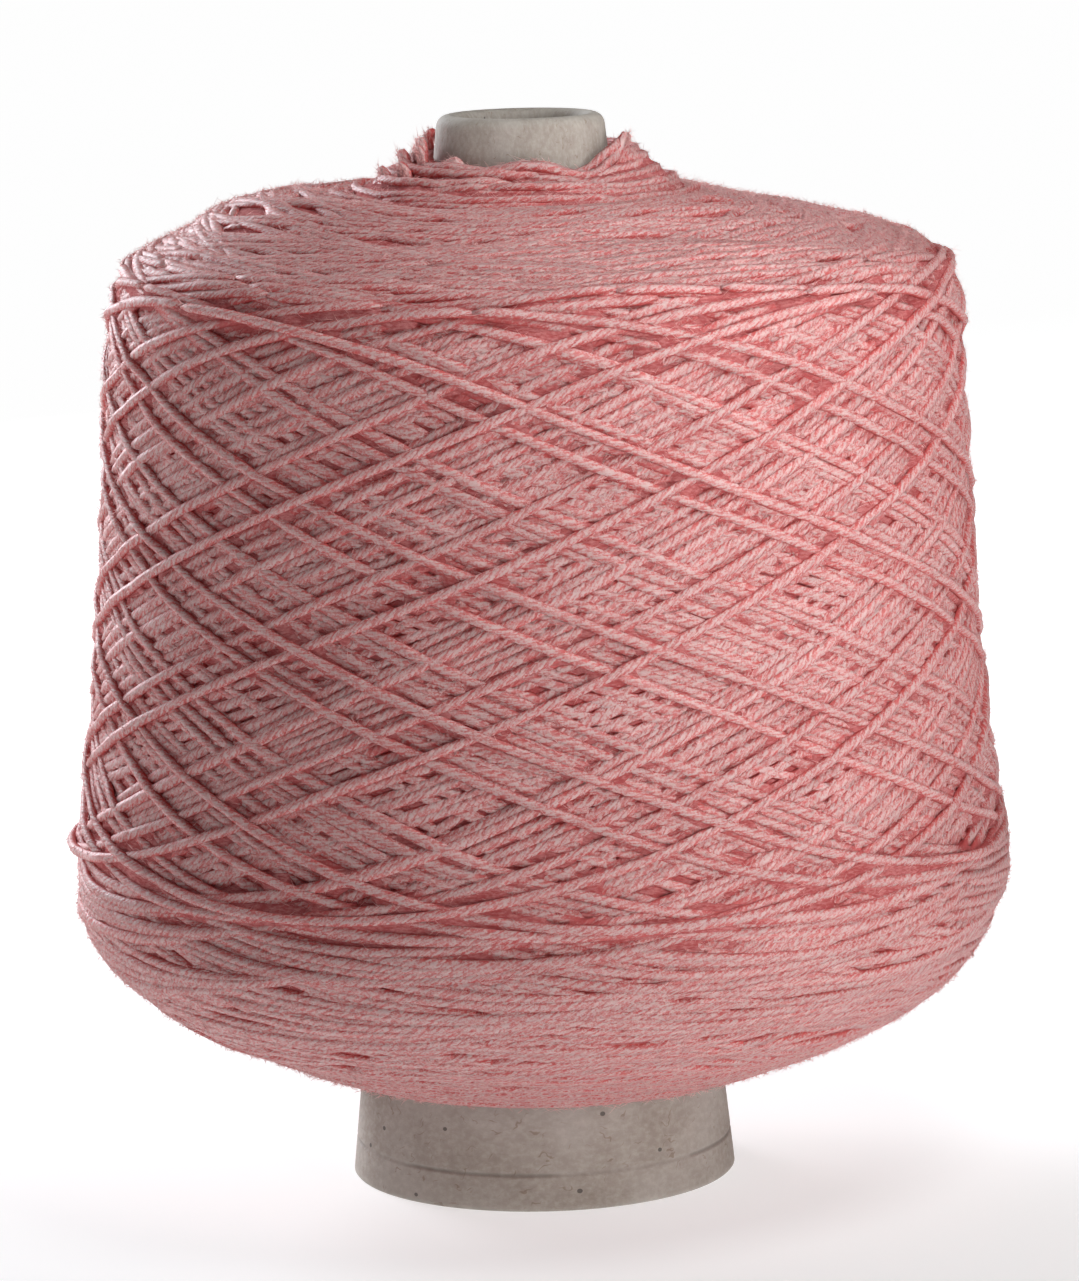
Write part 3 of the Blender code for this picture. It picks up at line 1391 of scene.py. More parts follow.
@dataclass(frozen=True)
class SlippedLoops:
    """Hairpin loops that stand up out of the collar, on legs that reach down into it.

    clear_of_rest is how far they stand off the other strands, for the finish's bury value, from
    which it paints shade on buried strands and paints these loops paler.
    """

    loops: tuple[Loop, ...] = (
        Loop(-169.0, 15.9, 166.9, 2.5, 4.0),
        Loop(-158.0, 17.0, 165.9, 2.3, 10.0),
        Loop(-166.0, 18.6, 165.2, 2.4, 14.0),
        Loop(-156.0, 20.2, 163.7, 2.2, 20.0),
        Loop(-167.0, 21.6, 162.9, 2.6, 26.0),
        Loop(-128.0, 16.2, 164.4, 2.6, 6.0),
        Loop(-14.0, 16.4, 167.2, 3.4, 8.0),
        Loop(150.0, 16.2, 167.4, 2.8, 6.0),
    )
    legs: float = 5.5
    leg_points: int = 8
    points: int = 36
    roundness: float = 1.25
    splay: float = 0.10
    half_thickness: float = 0.8
    wobble: float = 0.5
    wobble_pace: float = 0.7
    tone: float = 0.7
    clear_of_rest: float = 1.6

    def course(self, loop: Loop) -> Course:
        """Shape one loop, up one leg, over its turn and down the other leg.

        Args:
            loop: The loop.

        Returns:
            Its course.
        """
        half = 0.5 * loop.width
        turn = np.linspace(0.0, math.pi, self.points)
        leg = np.linspace(-self.legs, 0.0, self.leg_points)[:-1]
        splayed = half * (1.0 + self.splay * leg / self.legs)
        across = np.concatenate([splayed, half * np.cos(turn), -splayed[::-1]])
        top = self.roundness * half
        rise = np.concatenate([leg, top * np.sin(turn), leg[::-1]])
        azimuth, lean = math.radians(loop.azimuth), math.radians(loop.lean)
        outward = np.array([math.cos(azimuth), math.sin(azimuth), 0.0])
        around = np.array([-math.sin(azimuth), math.cos(azimuth), 0.0])
        axis = np.array([0.0, 0.0, 1.0])
        upward = axis * math.cos(lean) + outward * math.sin(lean)
        facing = outward * math.cos(lean) - axis * math.sin(lean)
        foot = outward * loop.radius + axis * (loop.top - top - self.half_thickness)
        line = foot + across[:, None] * around + rise[:, None] * upward
        bent = self.wobble * np.sin(rise * self.wobble_pace + loop.azimuth)
        line = line + bent[:, None] * around
        length = running_total(step_lengths(line) * MM)
        bury = np.full(len(line), -self.clear_of_rest)
        return Course(line * MM, np.broadcast_to(facing, line.shape), bury, length, self.tone)

    def build(self) -> list[Course]:
        """Shape all the loops."""
        return [self.course(loop) for loop in self.loops]


# ---- Strand meshes


@dataclass
class StrandMesher:
    """Turns courses into closed tubes, one piece for many strands.

    Each entry of swells is the size and the length of one wave of the strands' thickness. The
    bake map cuts the strands into cells of an even length, laid side by side as strips.
    """

    sides: int = 6
    half_width: float = 0.94 * MM
    half_height: float = 0.74 * MM
    cell_length: float = 0.16
    cell_spare: float = 0.006
    cell_filled: float = 0.99
    strip: float = 6.2 * MM
    tuck: float = 0.12
    strand_gap: float = 2.0 * MM
    map_shift: float = 3.0
    swells: tuple[Span, ...] = ((0.06, 11.0 * MM), (0.05, 4.3 * MM))
    unevenness: float = 0.025
    end_size: float = 0.35

    def rings(self, course: Course, random: Random) -> Array:
        """Set the vertices round a course.

        Args:
            course: The course.
            random: Source of the strand's unevenness.

        Returns:
            Points by ring and by side.
        """
        tangent = unit(np.gradient(course.points, axis=0))
        inline = np.sum(course.normals * tangent, axis=1, keepdims=True)
        normal = unit(course.normals - tangent * inline)
        side = np.cross(tangent, normal)
        angle = np.linspace(0.0, TURN, self.sides, endpoint=False)
        swell = 1.0
        for (size, wave), phase in zip(self.swells, random.uniform(0.0, TURN, len(self.swells))):
            swell = swell + size * np.sin(course.length / wave + phase)
        swell = swell + random.normal(0.0, self.unevenness, len(course.length))
        swell[[0, -1]] *= self.end_size
        size = swell[:, None, None]
        return course.points[:, None, :] + size * (
            -np.cos(angle)[None, :, None] * normal[:, None, :] * self.half_height
            + np.sin(angle)[None, :, None] * side[:, None, :] * self.half_width
        )

    def build(self, name: str, courses: list[Course], material: Material, seed: int) -> Piece:
        """Build one piece.

        Args:
            name: Name of the piece.
            courses: The strands in it.
            material: Its finish.
            seed: Seed of the small irregularities.

        Returns:
            The piece.
        """
        random = np.random.default_rng(seed)
        sides = self.sides
        points, bury, tone, corners, starts, strand_uv, bake = ([] for _ in range(7))
        base, corner_count, run = 0, 0, 0.0
        around = np.arange(sides + 1) / sides
        for course in courses:
            ring_points = self.rings(course, random)
            count = len(ring_points)
            points.append(ring_points.reshape(-1, 3))
            bury.append(np.repeat(course.bury, sides))
            tone.append(np.full(count * sides, course.tone))
            ring = np.arange(count - 1)[:, None]
            side = np.arange(sides)[None, :]
            following = (side + 1) % sides
            quads = np.stack(
                [
                    ring * sides + side,
                    (ring + 1) * sides + side,
                    (ring + 1) * sides + following,
                    ring * sides + following,
                ],
                axis=-1,
            ).reshape(-1, 4)
            corners.append((quads + base).ravel())
            starts.append(corner_count + 4 * np.arange(len(quads)))
            corner_count += 4 * len(quads)
            along = (course.length + random.uniform(0.0, self.map_shift)) / MM
            first, last = along[:-1, None], along[1:, None]
            low, high = around[None, :-1], around[None, 1:]
            grid = np.ones((count - 1, sides))
            u = np.stack([first * grid, last * grid, last * grid, first * grid], axis=-1)
            v = np.stack([low * grid, low * grid, high * grid, high * grid], axis=-1)
            strand_uv.append(np.stack([u, v], axis=-1).reshape(-1, 2))
            here = run + course.length - course.length[0]
            cell = np.floor(here[:-1] / self.cell_length)
            begin = here[:-1] - cell * self.cell_length
            end = here[1:] - cell * self.cell_length
            cell_u = np.stack([begin, end, end, begin], axis=-1)[:, None, :] * grid[..., None]
            cells = np.broadcast_to(cell[:, None, None], cell_u.shape)
            bake.append(np.stack([cell_u, v, cells], axis=-1).reshape(-1, 3))
            for cap in (np.arange(sides)[::-1], (count - 1) * sides + np.arange(sides)):
                corners.append(cap[::-1] + base)
                starts.append(np.array([corner_count]))
                corner_count += sides
                at = along[0] if cap[0] < sides else along[-1]
                strand_uv.append(np.tile([[at, 0.5]], (sides, 1)))
                edge = here[0] if cap[0] < sides else here[-2]
                edge_cell = math.floor(edge / self.cell_length)
                into_cell = edge - edge_cell * self.cell_length
                bake.append(np.tile([[into_cell, 0.5, edge_cell]], (sides, 1)))
            base += count * sides
            run = here[-1] + self.strand_gap
        piece = piece_from_arrays(
            name, np.concatenate(points), np.concatenate(corners), np.concatenate(starts)
        )
        add_uv(piece, STRAND_MAP, np.concatenate(strand_uv))
        add_uv(piece, BAKE_MAP, self.packed(np.concatenate(bake)))
        add_value(piece, "bury", np.concatenate(bury))
        add_value(piece, "tone", np.concatenate(tone))
        piece.data.materials.append(material)
        return piece

    def packed(self, bake: Array) -> Array:
        """Lay the strands' flat skins side by side in rows of one square map.

        Args:
            bake: For each face corner its way into its cell, its share round the strand, and its
                cell's number.

        Returns:
            Rows of (u, v).
        """
        wide = self.cell_length + self.cell_spare
        cells = int(bake[:, 2].max()) + 1
        columns = max(1, round(math.sqrt(cells * self.strip / wide)))
        rows = math.ceil(cells / columns)
        column = bake[:, 2] % columns
        row = np.floor(bake[:, 2] / columns)
        u = (column + bake[:, 0] / wide * self.cell_filled) / columns
        v = (row + 0.5 * self.tuck + bake[:, 1] * (1.0 - self.tuck)) / rows
        return np.stack([u, v], axis=-1)


@dataclass(frozen=True)
class Fuzz:
    """Loose fibres of one kind standing off the strands, as thin bent spikes.

    length is the shortest and the longest in mm, and rise how steeply they leave the strand. They
    stand within turn of its outer side, stray sideways, bend as they go and droop back.
    """

    name: str
    count: int
    length: tuple[float, float]
    segments: int
    rise: tuple[float, float]
    thickness: float
    seed: int
    root_height: float = 0.72 * MM
    slide: float = 1.4 * MM
    most_buried: float = 0.55
    sides: int = 3
    turn: float = 1.25
    lengthwise: Span = (0.5, 1.0)
    stray: float = 0.45
    bend: float = 0.55
    droop: float = 0.35
    thinning: float = 0.55
    upright: float = 0.8
    map_margin: float = 0.01

    def roots(self, courses: list[Course], random: Random) -> tuple[Array, ...]:
        """Pick even places on the outermost strands.

        Args:
            courses: Every strand.
            random: Source of the places.

        Returns:
            Middles of the strands there, and their directions along and outwards.
        """
        middles = np.concatenate([course.points for course in courses])
        normals = np.concatenate([course.normals for course in courses])
        along = np.concatenate([np.gradient(course.points, axis=0) for course in courses])
        along = unit(along)
        bury = np.concatenate([course.bury for course in courses])
        open_air = np.flatnonzero(bury < self.most_buried)
        chosen = open_air[random.integers(0, len(open_air), self.count)]
        slide = random.uniform(-self.slide, self.slide, (self.count, 1))
        return middles[chosen] + along[chosen] * slide, along[chosen], normals[chosen]

    def lines(self, courses: list[Course]) -> tuple[Array, Array]:
        """Shape the fibres.

        Args:
            courses: Every strand.

        Returns:
            Middle lines, one row of points a fibre, and their tones.
        """
        random = np.random.default_rng(self.seed)
        column = (self.count, 1)
        middle, along, normal = self.roots(courses, random)
        side = np.cross(along, normal)
        turn = random.uniform(-self.turn, self.turn, column)
        outward = normal * np.cos(turn) + side * np.sin(turn)
        forward = random.choice([-1.0, 1.0], column) * random.uniform(*self.lengthwise, column)
        round_it = np.cross(along, outward) * random.normal(0.0, self.stray, column)
        heading = along * forward + outward * random.uniform(*self.rise, column) + round_it
        heading = unit(heading)
        bend = random.normal(0.0, self.bend, (self.count, 3)) - self.droop * outward
        step = random.uniform(*self.length, column) * MM / self.segments
        line = [middle + outward * self.root_height]
        for _ in range(self.segments):
            line.append(line[-1] + heading * step)
            heading = unit(heading + bend / self.segments)
        return np.stack(line, axis=1), random.uniform(0.0, 1.0, self.count)

    def faces(self) -> tuple[Array, Array]:
        """Number the corners of one closed spike.

        Returns:
            Its triangles, and how far along it each of their corners lies, from 0 to 1.
        """
        faces, shares = [], []
        knots = self.segments
        for knot in range(knots - 1):
            low, high = knot / knots, (knot + 1) / knots
            for corner in range(self.sides):
                a, b = knot * self.sides + corner, knot * self.sides + (corner + 1) % self.sides
                c, d = a + self.sides, b + self.sides
                faces.extend([(a, b, d), (a, d, c)])
                shares.extend([(low, low, high), (low, high, high)])
        last = (knots - 1) * self.sides
        low = (knots - 1) / knots
        for corner in range(self.sides):
            faces.append((last + corner, last + (corner + 1) % self.sides, last + self.sides))
            shares.append((low, low, 1.0))
        faces.append((2, 1, 0))
        shares.append((0.0, 0.0, 0.0))
        return np.array(faces), np.array(shares)

    def build(self, courses: list[Course], material: Material) -> Piece:
        """Build the fibres as one piece.

        Args:
            courses: Every strand.
            material: The fibres' finish.

        Returns:
            The piece.
        """
        lines, tones = self.lines(courses)
        heading = unit(lines[:, 1] - lines[:, 0])
        upright = np.abs(heading[:, 2:3]) > self.upright
        across = np.cross(heading, np.where(upright, [[1.0, 0.0, 0.0]], [[0.0, 0.0, 1.0]]))
        across = unit(across)
        other = np.cross(heading, across)
        angle = (np.arange(self.sides) * TURN / self.sides)[None, :, None]
        star = np.cos(angle) * across[:, None, :] + np.sin(angle) * other[:, None, :]
        rings = []
        for knot in range(self.segments):
            taper = 1.0 - self.thinning * knot / self.segments
            rings.append(lines[:, knot, None, :] + star * self.thickness * taper)
        points = np.concatenate([*rings, lines[:, -1:, :]], axis=1)
        pattern, shares = self.faces()
        corners = np.arange(self.count)[:, None, None] * points.shape[1] + pattern[None]
        starts = self.sides * np.arange(self.count * len(pattern))
        piece = piece_from_arrays(self.name, points.reshape(-1, 3), corners.ravel(), starts)
        tone = np.broadcast_to(tones[:, None, None], corners.shape)
        share = np.broadcast_to(shares[None], corners.shape)
        values = np.stack([tone, share], axis=-1).reshape(-1, 2)
        values = values * (1.0 - 2.0 * self.map_margin) + self.map_margin
        for name in (STRAND_MAP, BAKE_MAP):
            add_uv(piece, name, values)
        piece.data.materials.append(material)
        return piece


@dataclass
class YarnPackage:
    """The whole package: body, end faces, side winding, collar and loose fibres.

    Lengths are in mm, the cone's taper aside. proud is how far the yarn stands over the form, and
    the felt depths are how deep the closed yarn lies between the strands.
    """

    form: PackageForm = field(default_factory=PackageForm)
    seed: int = 7
    proud: float = -0.55
    face_flattened: float = 0.6
    felt_depth: float = 0.24
    face_felt_depth: float = 0.12
    side_heights: tuple[float, float] = (146.0, 50.0)
    side_ease: float = 9.0
    body_columns: int = 260
    body_rows: int = 130
    bore_gap: float = 0.3
    out_of_sight: float = 0.15
    tucked_rings: int = 2
    fewest_rings: int = 4
    mean_radius: float = 60.0
    closing: float = 0.01
    fuzz: tuple[Fuzz, ...] = (
        Fuzz("yarn_fuzz_short", 43000, (0.5, 1.4), 1, (0.25, 0.8), 0.052 * MM, 31),
        Fuzz("yarn_fuzz_flat", 46000, (1.0, 2.4), 1, (0.05, 0.35), 0.050 * MM, 33),
        Fuzz("yarn_fuzz_long", 2400, (1.0, 2.2), 3, (0.3, 0.9), 0.040 * MM, 32),
    )
    cone_base: float = 30.8
    cone_taper: float = math.tan(math.radians(5.95))

    def __post_init__(self) -> None:
        """Start with the bare body."""
        self.surface = WoundSurface(self.form)
        self.ground = np.zeros_like(self.surface.grid)
        self.felt = np.zeros_like(self.surface.grid)

    def skin_lift(self, azimuth: Array, down: Array) -> Array:
        """Find where the winding's base lies, so that its pressed-in top meets the skin.

        Args:
            azimuth: Angles round the axis.
            down: Ways down the section, in mm.

        Returns:
            Heights of the base over the skin, in mm.
        """
        rows, columns = self.ground.shape
        row = np.clip(down / self.surface.pitch, 0.0, rows - 1.0 - TINY)
        column = azimuth / TURN * columns
        above, left = np.floor(row).astype(int), np.floor(column).astype(int)
        part_row, part_column = row - above, column - left
        left, right = left % columns, (left + 1) % columns
        upper, lower = (
            self.ground[line, left] * (1.0 - part_column) + self.ground[line, right] * part_column
            for line in (above, above + 1)
        )
        return self.proud - upper * (1.0 - part_row) - lower * part_row

    def lay_felt(self) -> None:
        """Work out the height of the felted yarn that closes the grooves between the strands."""
        down = np.arange(len(self.felt)) * self.surface.pitch
        shoulder, belly = (self.form.down_at_height(height) for height in self.side_heights)
        on_face = smooth_step((shoulder - down) / self.side_ease)
        on_face = on_face + smooth_step((down - belly) / self.side_ease)
        depth = self.felt_depth + (self.face_felt_depth - self.felt_depth) * on_face
        self.felt = self.surface.filled() - depth[:, None]

    def seen_runs(self, above: Array) -> list[tuple[int, int]]:
        """Find the runs of a strand that come out of the felt, with their ends tucked in.

        Args:
            above: Height of its outer side over the felt, ring by ring, in mm.

        Returns:
            First ring of each run and the ring after its last.
        """
        seen = above > -self.out_of_sight
        near = seen.copy()
        for away in range(1, self.tucked_rings + 1):
            near[away:] |= seen[:-away]
            near[:-away] |= seen[away:]
        edges = np.flatnonzero(np.diff(np.concatenate([[False], near, [False]]).astype(int)))
        runs = zip(edges[::2].tolist(), edges[1::2].tolist())
        return [(first, end) for first, end in runs if end - first >= self.fewest_rings]

    def courses(self, strand: Strand, spacing: float) -> list[Course]:
        """Thin out a strand's points for its mesh, and leave out what is buried.

        Args:
            strand: The laid strand.
            spacing: Length between rings, in mm.

        Returns:
            Its courses.
        """
        count = max(int(len(strand.lift) * strand.step / spacing), self.fewest_rings)
        index = np.linspace(0, len(strand.lift) - 1, count).astype(int)
        azimuth, down, lift = strand.azimuth[index], strand.down[index], strand.lift[index]
        top = self.surface.top_at(azimuth, down)
        # How deep the strand lies under others, from which the finish paints shade.
        bury = np.maximum(top - lift - self.surface.half_height, 0.0)
        above = lift + self.surface.half_height - self.felt[self.surface.cells(azimuth, down)]
        points, normals = self.form.points(azimuth, down, lift + self.skin_lift(azimuth, down))
        length = running_total(step_lengths(points))
        return [
            Course(points[a:b], normals[a:b], bury[a:b], length[a:b], strand.tone)
            for a, b in self.seen_runs(above)
        ]

    def build_body(self) -> Piece:
        """Build the closed felt that fills the grooves between the strands, bored for the cone.

        Returns:
            The piece.
        """
        down = np.linspace(0.0, self.form.length, self.body_rows)
        azimuth = np.linspace(0.0, TURN, self.body_columns, endpoint=False)
        grid_azimuth, grid_down = np.meshgrid(azimuth, down, indexing="ij")
        lift = self.felt[self.surface.cells(grid_azimuth, grid_down)]
        lift = lift + self.skin_lift(grid_azimuth, grid_down)
        skin, _ = self.form.points(grid_azimuth, grid_down, lift)
        bore = []
        for end in (-1, 0):
            height = skin[:, end, 2]
            radius = (self.cone_base + self.bore_gap) * MM - height * self.cone_taper
            bore.append(np.stack([radius * np.cos(azimuth), radius * np.sin(azimuth), height], axis=-1))
        section = np.concatenate([skin, np.stack(bore, axis=1)], axis=1)
        girth = TURN * self.mean_radius
        piece = lathed("yarn_body", section, girth, self.closing, downward=True)
        # Its finish paints the felt darker and redder than the strands, as shade.
        piece.data.materials.append(DeepYarnFinish().make())
        return piece

    def build(self) -> list[Piece]:
        """Wind the package and build its pieces.

        Returns:
            The pieces.
        """
        random = np.random.default_rng(self.seed)
        surface = self.surface
        for face, inner, rim, arcs in (
            (Winding.TOP_FACE, 20.5, 139.0, 140),
            (Winding.UNDERSIDE, 33.0, 42.0, 115),
        ):
            FaceWinding(self.form, surface, face, inner, rim, arcs).lay(random)
        surface.squash(self.face_flattened)
        SideWinding(self.form, surface).lay(random)
        CollarWinding(self.form, surface).lay(random)
        surface.iron()
        self.ground = surface.pressed
        self.lay_felt()
        uneven = surface.grid - self.ground
        log.info("winding: %.2f mm thick, uneven by %.2f mm", self.ground.mean(), uneven.std())
        yarn = YarnFinish().make()
        fine = StrandMesher(half_width=0.84 * MM, half_height=0.76 * MM)
        packed = StrandMesher(half_width=0.95 * MM, half_height=0.66 * MM)
        plain = StrandMesher(sides=5, half_width=1.0 * MM, half_height=0.65 * MM)
        ways = {
            Winding.TOP_FACE: (packed, 3.0),
            Winding.UNDERSIDE: (plain, 3.6),
            Winding.FULL: (plain, 4.4),
            Winding.RIBBONS: (packed, 2.6),
            Winding.SINGLES: (fine, 2.2),
            Winding.COLLAR: (fine, 1.5),
        }
        pieces = [self.build_body()]
        courses: list[Course] = []
        for index, (winding, (mesher, spacing)) in enumerate(ways.items()):
            strands = [strand for strand in surface.laid if strand.winding is winding]
            own = [course for strand in strands for course in self.courses(strand, spacing)]
            if winding is Winding.COLLAR:
                own = own + SlippedLoops().build()
            courses.extend(own)
            pieces.append(mesher.build(winding.value, own, yarn, self.seed + index))
        loose = FuzzFinish().make()
        pieces.extend(fuzz.build(courses, loose) for fuzz in self.fuzz)
        for piece in pieces:
            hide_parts(YARN_NODE)
            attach(piece, BODY)
            report(piece)
        return pieces


# ---- Paper cone


def arc(middle: float, height: float, radius: float, angles: Array) -> Array:
    """Rows of (radius, height) on an arc of a section."""
    return np.stack([middle + radius * np.cos(angles), height + radius * np.sin(angles)], axis=-1)


@dataclass
class PaperCone:
    """The hollow wound-board cone with its nose rolled in.

    The rows are heights of the section in mm, up the outside and down the bore. The board is a
    little uneven: the nose crimps where it is rolled in, and is not quite round, and the scored
    line fades in places. Its edges are rubbed, within the given heights, and the foot edge is
    painted with a highlight. The score groove and the crimps' valleys are painted with shade.
    """

    length: float = 170.0 * MM
    base_radius: float = 30.8 * MM
    taper: float = math.radians(5.95)
    wall: float = 2.0 * MM
    bevel: float = 0.25 * MM
    foot_rows: tuple[float, ...] = (0.25, 0.8, 2.0, 4.0)
    outer_rows: tuple[float, ...] = (
        *(8.0, 12.0, 16.0, 22.0, 40.0, 60.0, 80.0, 100.0, 120.0, 140.0, 152.0),
        *(157.0, 160.0, 162.0, 164.0, 166.0, 167.4),
    )
    bore_rows: tuple[float, ...] = (140.0, 110.0, 80.0, 50.0, 25.0, 10.0, 3.0, 0.8)
    score_rows: int = 9
    lip_rows: int = 15
    throat_rows: int = 8
    throat_range: Span = (0.1, 0.92)
    turned_rows: int = 6
    lip_radius: float = 1.9 * MM
    roll_depth: float = 12.0 * MM
    roll_end_radius: float = 0.9 * MM
    score_height: float = 5.7 * MM
    score_depth: float = 0.22 * MM
    score_half_width: float = 0.4 * MM
    segments: int = 192
    crimp: float = 0.22 * MM
    crimp_orders: tuple[int, ...] = (17, 23, 31, 44, 57)
    crimp_range: Span = (0.5, 1.0)
    crimp_scale: float = 2.4
    crimped_lip: Span = (0.0, 0.8)
    # How much painted shade the crimps' valleys take, and the most of it.
    crimp_shade: float = 0.55
    most_crease_shade: float = 0.5
    wander: float = 0.10 * MM
    wander_orders: tuple[int, ...] = (2, 3, 5, 9)
    wander_from: float = 150.0 * MM
    # Heights of the rubbed edges; the foot's band also carries a painted highlight.
    foot_wear_and_highlight: float = 0.7 * MM
    rubbed_lip: Span = (168.9 * MM, 1.1 * MM)
    map_girth: float = 150.0
    closing: float = 1.6 * MM
    seed: int = 19

    def radius(self, height: Array) -> Array:
        """Outer radius at a height."""
        return self.base_radius - height * math.tan(self.taper)

    def profile(self) -> tuple[Array, Array]:
        """Closed section, up the outside, over the nose and down the bore.

        Returns:
            Rows of (radius, height), and how much of the nose's crimps shows at each.
        """
        across = self.wall / math.cos(self.taper)
        score = np.linspace(-1.5, 1.5, self.score_rows) * self.score_half_width
        foot, upper = np.array(self.foot_rows) * MM, np.array(self.outer_rows) * MM
        heights = np.concatenate([foot, self.score_height + score, upper])
        outside = np.stack([self.radius(heights), heights], axis=-1)
        lip_height = self.length - self.lip_radius
        lip_middle = self.radius(lip_height) - self.lip_radius / math.cos(self.taper)
        angles = np.linspace(self.taper, math.pi, self.lip_rows)
        lip = arc(lip_middle, lip_height, self.lip_radius, angles)
        end_height = self.length - self.roll_depth
        end_radius = self.radius(end_height) - across - self.roll_end_radius
        share = np.linspace(*self.throat_range, self.throat_rows)[:, None]
        roll_end = np.array([end_radius - self.roll_end_radius, end_height])
        throat = lip[-1] * (1.0 - share) + roll_end * share
        angles = np.linspace(math.pi, 1.5 * math.pi, self.turned_rows)
        turned = arc(end_radius, end_height, self.roll_end_radius, angles)
        bore_heights = [end_height - self.roll_end_radius, *(np.array(self.bore_rows) * MM)]
        bore_heights = np.array(bore_heights)
        bore = np.stack([self.radius(bore_heights) - across, bore_heights], axis=-1)
        edge = np.array([[self.radius(0.0) - self.bevel, 0.0]])
        inner = np.array([[self.radius(0.0) - across + self.bevel, 0.0]])
        rows = np.concatenate([edge, outside, lip, throat, turned, bore, inner])
        crimped = np.zeros(len(rows))
        throat_start = len(edge) + len(outside) + len(lip)
        fading_in = self.lip_rows // 2
        crimped[throat_start - fading_in : throat_start] = np.linspace(*self.crimped_lip, fading_in)
        crimped[throat_start : throat_start + len(throat) + 2] = 1.0
        return rows, crimped

    def section(self, random: Random) -> tuple[Array, Array, Array]:
        """Sections round the axis with the small unevenness of wound board.

        Args:
            random: Source of the unevenness.

        Returns:
            Points by column and row, how much rubbed wear and painted highlight they carry, and how
            much painted shade they carry.
        """
        rows, crimped = self.profile()
        heights = rows[:, 1]
        azimuth = np.linspace(0.0, TURN, self.segments, endpoint=False)
        crimps, wander = np.zeros((2, self.segments))
        for order in self.crimp_orders:
            size = random.uniform(*self.crimp_range)
            crimps += size * np.cos(order * azimuth + random.uniform(0.0, TURN))
        crimps /= self.crimp_scale
        for order in self.wander_orders:
            wander += np.cos(order * azimuth + random.uniform(0.0, TURN)) / order
        broken = smooth_step(0.5 + 1.4 * np.cos(4.0 * azimuth + 1.0) + 0.9 * np.cos(11.0 * azimuth))
        lean = 0.45 + 0.55 * np.cos(azimuth + 2.2)
        away = np.abs(heights - self.score_height) / self.score_half_width
        groove = np.where(away < 1.0, np.cos(0.5 * math.pi * away), 0.0)
        near_nose = smooth_step((heights - self.wander_from) / (self.length - self.wander_from))
        radius = np.tile(rows[:, 0], (self.segments, 1))
        radius += crimped * (crimps * self.crimp * (0.6 + 0.4 * lean))[:, None]
        radius += near_nose * (wander * self.wander)[:, None]
        radius -= groove * (self.score_depth * (0.35 + 0.65 * broken))[:, None]
        height = np.broadcast_to(heights, radius.shape)
        points = [radius * np.cos(azimuth)[:, None], radius * np.sin(azimuth)[:, None], height]
        # Rubbed wear at the foot and the lip, with a painted highlight along the foot edge.
        at_edge = np.exp(-((heights / self.foot_wear_and_highlight) ** 2))
        at_lip = smooth_step((heights - self.rubbed_lip[0]) / self.rubbed_lip[1])
        edge_wear_and_highlight = np.maximum(0.7 * at_edge, 0.6 * at_lip) * (0.6 + 0.4 * wander[:, None])
        # Painted shade in the score groove and in the crimps' valleys.
        crease_shade = groove * (0.25 + 0.45 * broken)[:, None]
        crease_shade = crease_shade + np.clip(-crimped * crimps[:, None] * self.crimp_shade, 0.0, self.most_crease_shade)
        return np.stack(points, axis=-1), np.clip(edge_wear_and_highlight, 0.0, 1.0), np.clip(crease_shade, 0.0, 1.0)

    def build(self) -> Piece:
        """Build the cone.

        Returns:
            The piece.
        """
        points, edge_wear_and_highlight, crease_shade = self.section(np.random.default_rng(self.seed))
        piece = lathed("board_cone", points, self.map_girth, self.closing)
        add_value(piece, "edge_wear_and_highlight", edge_wear_and_highlight.ravel())
        add_value(piece, "crease_shade", crease_shade.ravel())
        piece.data.materials.append(PaperFinish().make())
        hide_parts(CONE_NODE)
        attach(piece, BODY)
        report(piece)
        return piece


# ---- Studio


@dataclass(frozen=True)
class SoftBox:
    """A soft lamp aimed at the package: its bearing and height in degrees, distance, and size."""

    name: str
    azimuth: float
    elevation: float
    distance: float
    width: float
    height: float
    power: float
    colour: Colour
    spread: float = 180.0

    def build(self, aim: Vector) -> None:
        """Add the lamp.

        Args:
            aim: The place that it points at.
        """
        lamp = bpy.data.lights.new(self.name, "AREA")
        lamp.shape = "RECTANGLE"
        lamp.size = self.width
        lamp.size_y = self.height
        lamp.spread = math.radians(self.spread)
        lamp.energy = self.power
        lamp.color = self.colour
        azimuth, elevation = math.radians(self.azimuth), math.radians(self.elevation)
        level = math.cos(elevation)
        away = Vector((math.cos(azimuth) * level, math.sin(azimuth) * level, math.sin(elevation)))
        thing = bpy.data.objects.new(self.name, lamp)
        thing.location = aim + away * self.distance
        thing.rotation_euler = (-away).to_track_quat("-Z", "Y").to_euler()
        bpy.context.scene.collection.objects.link(thing)


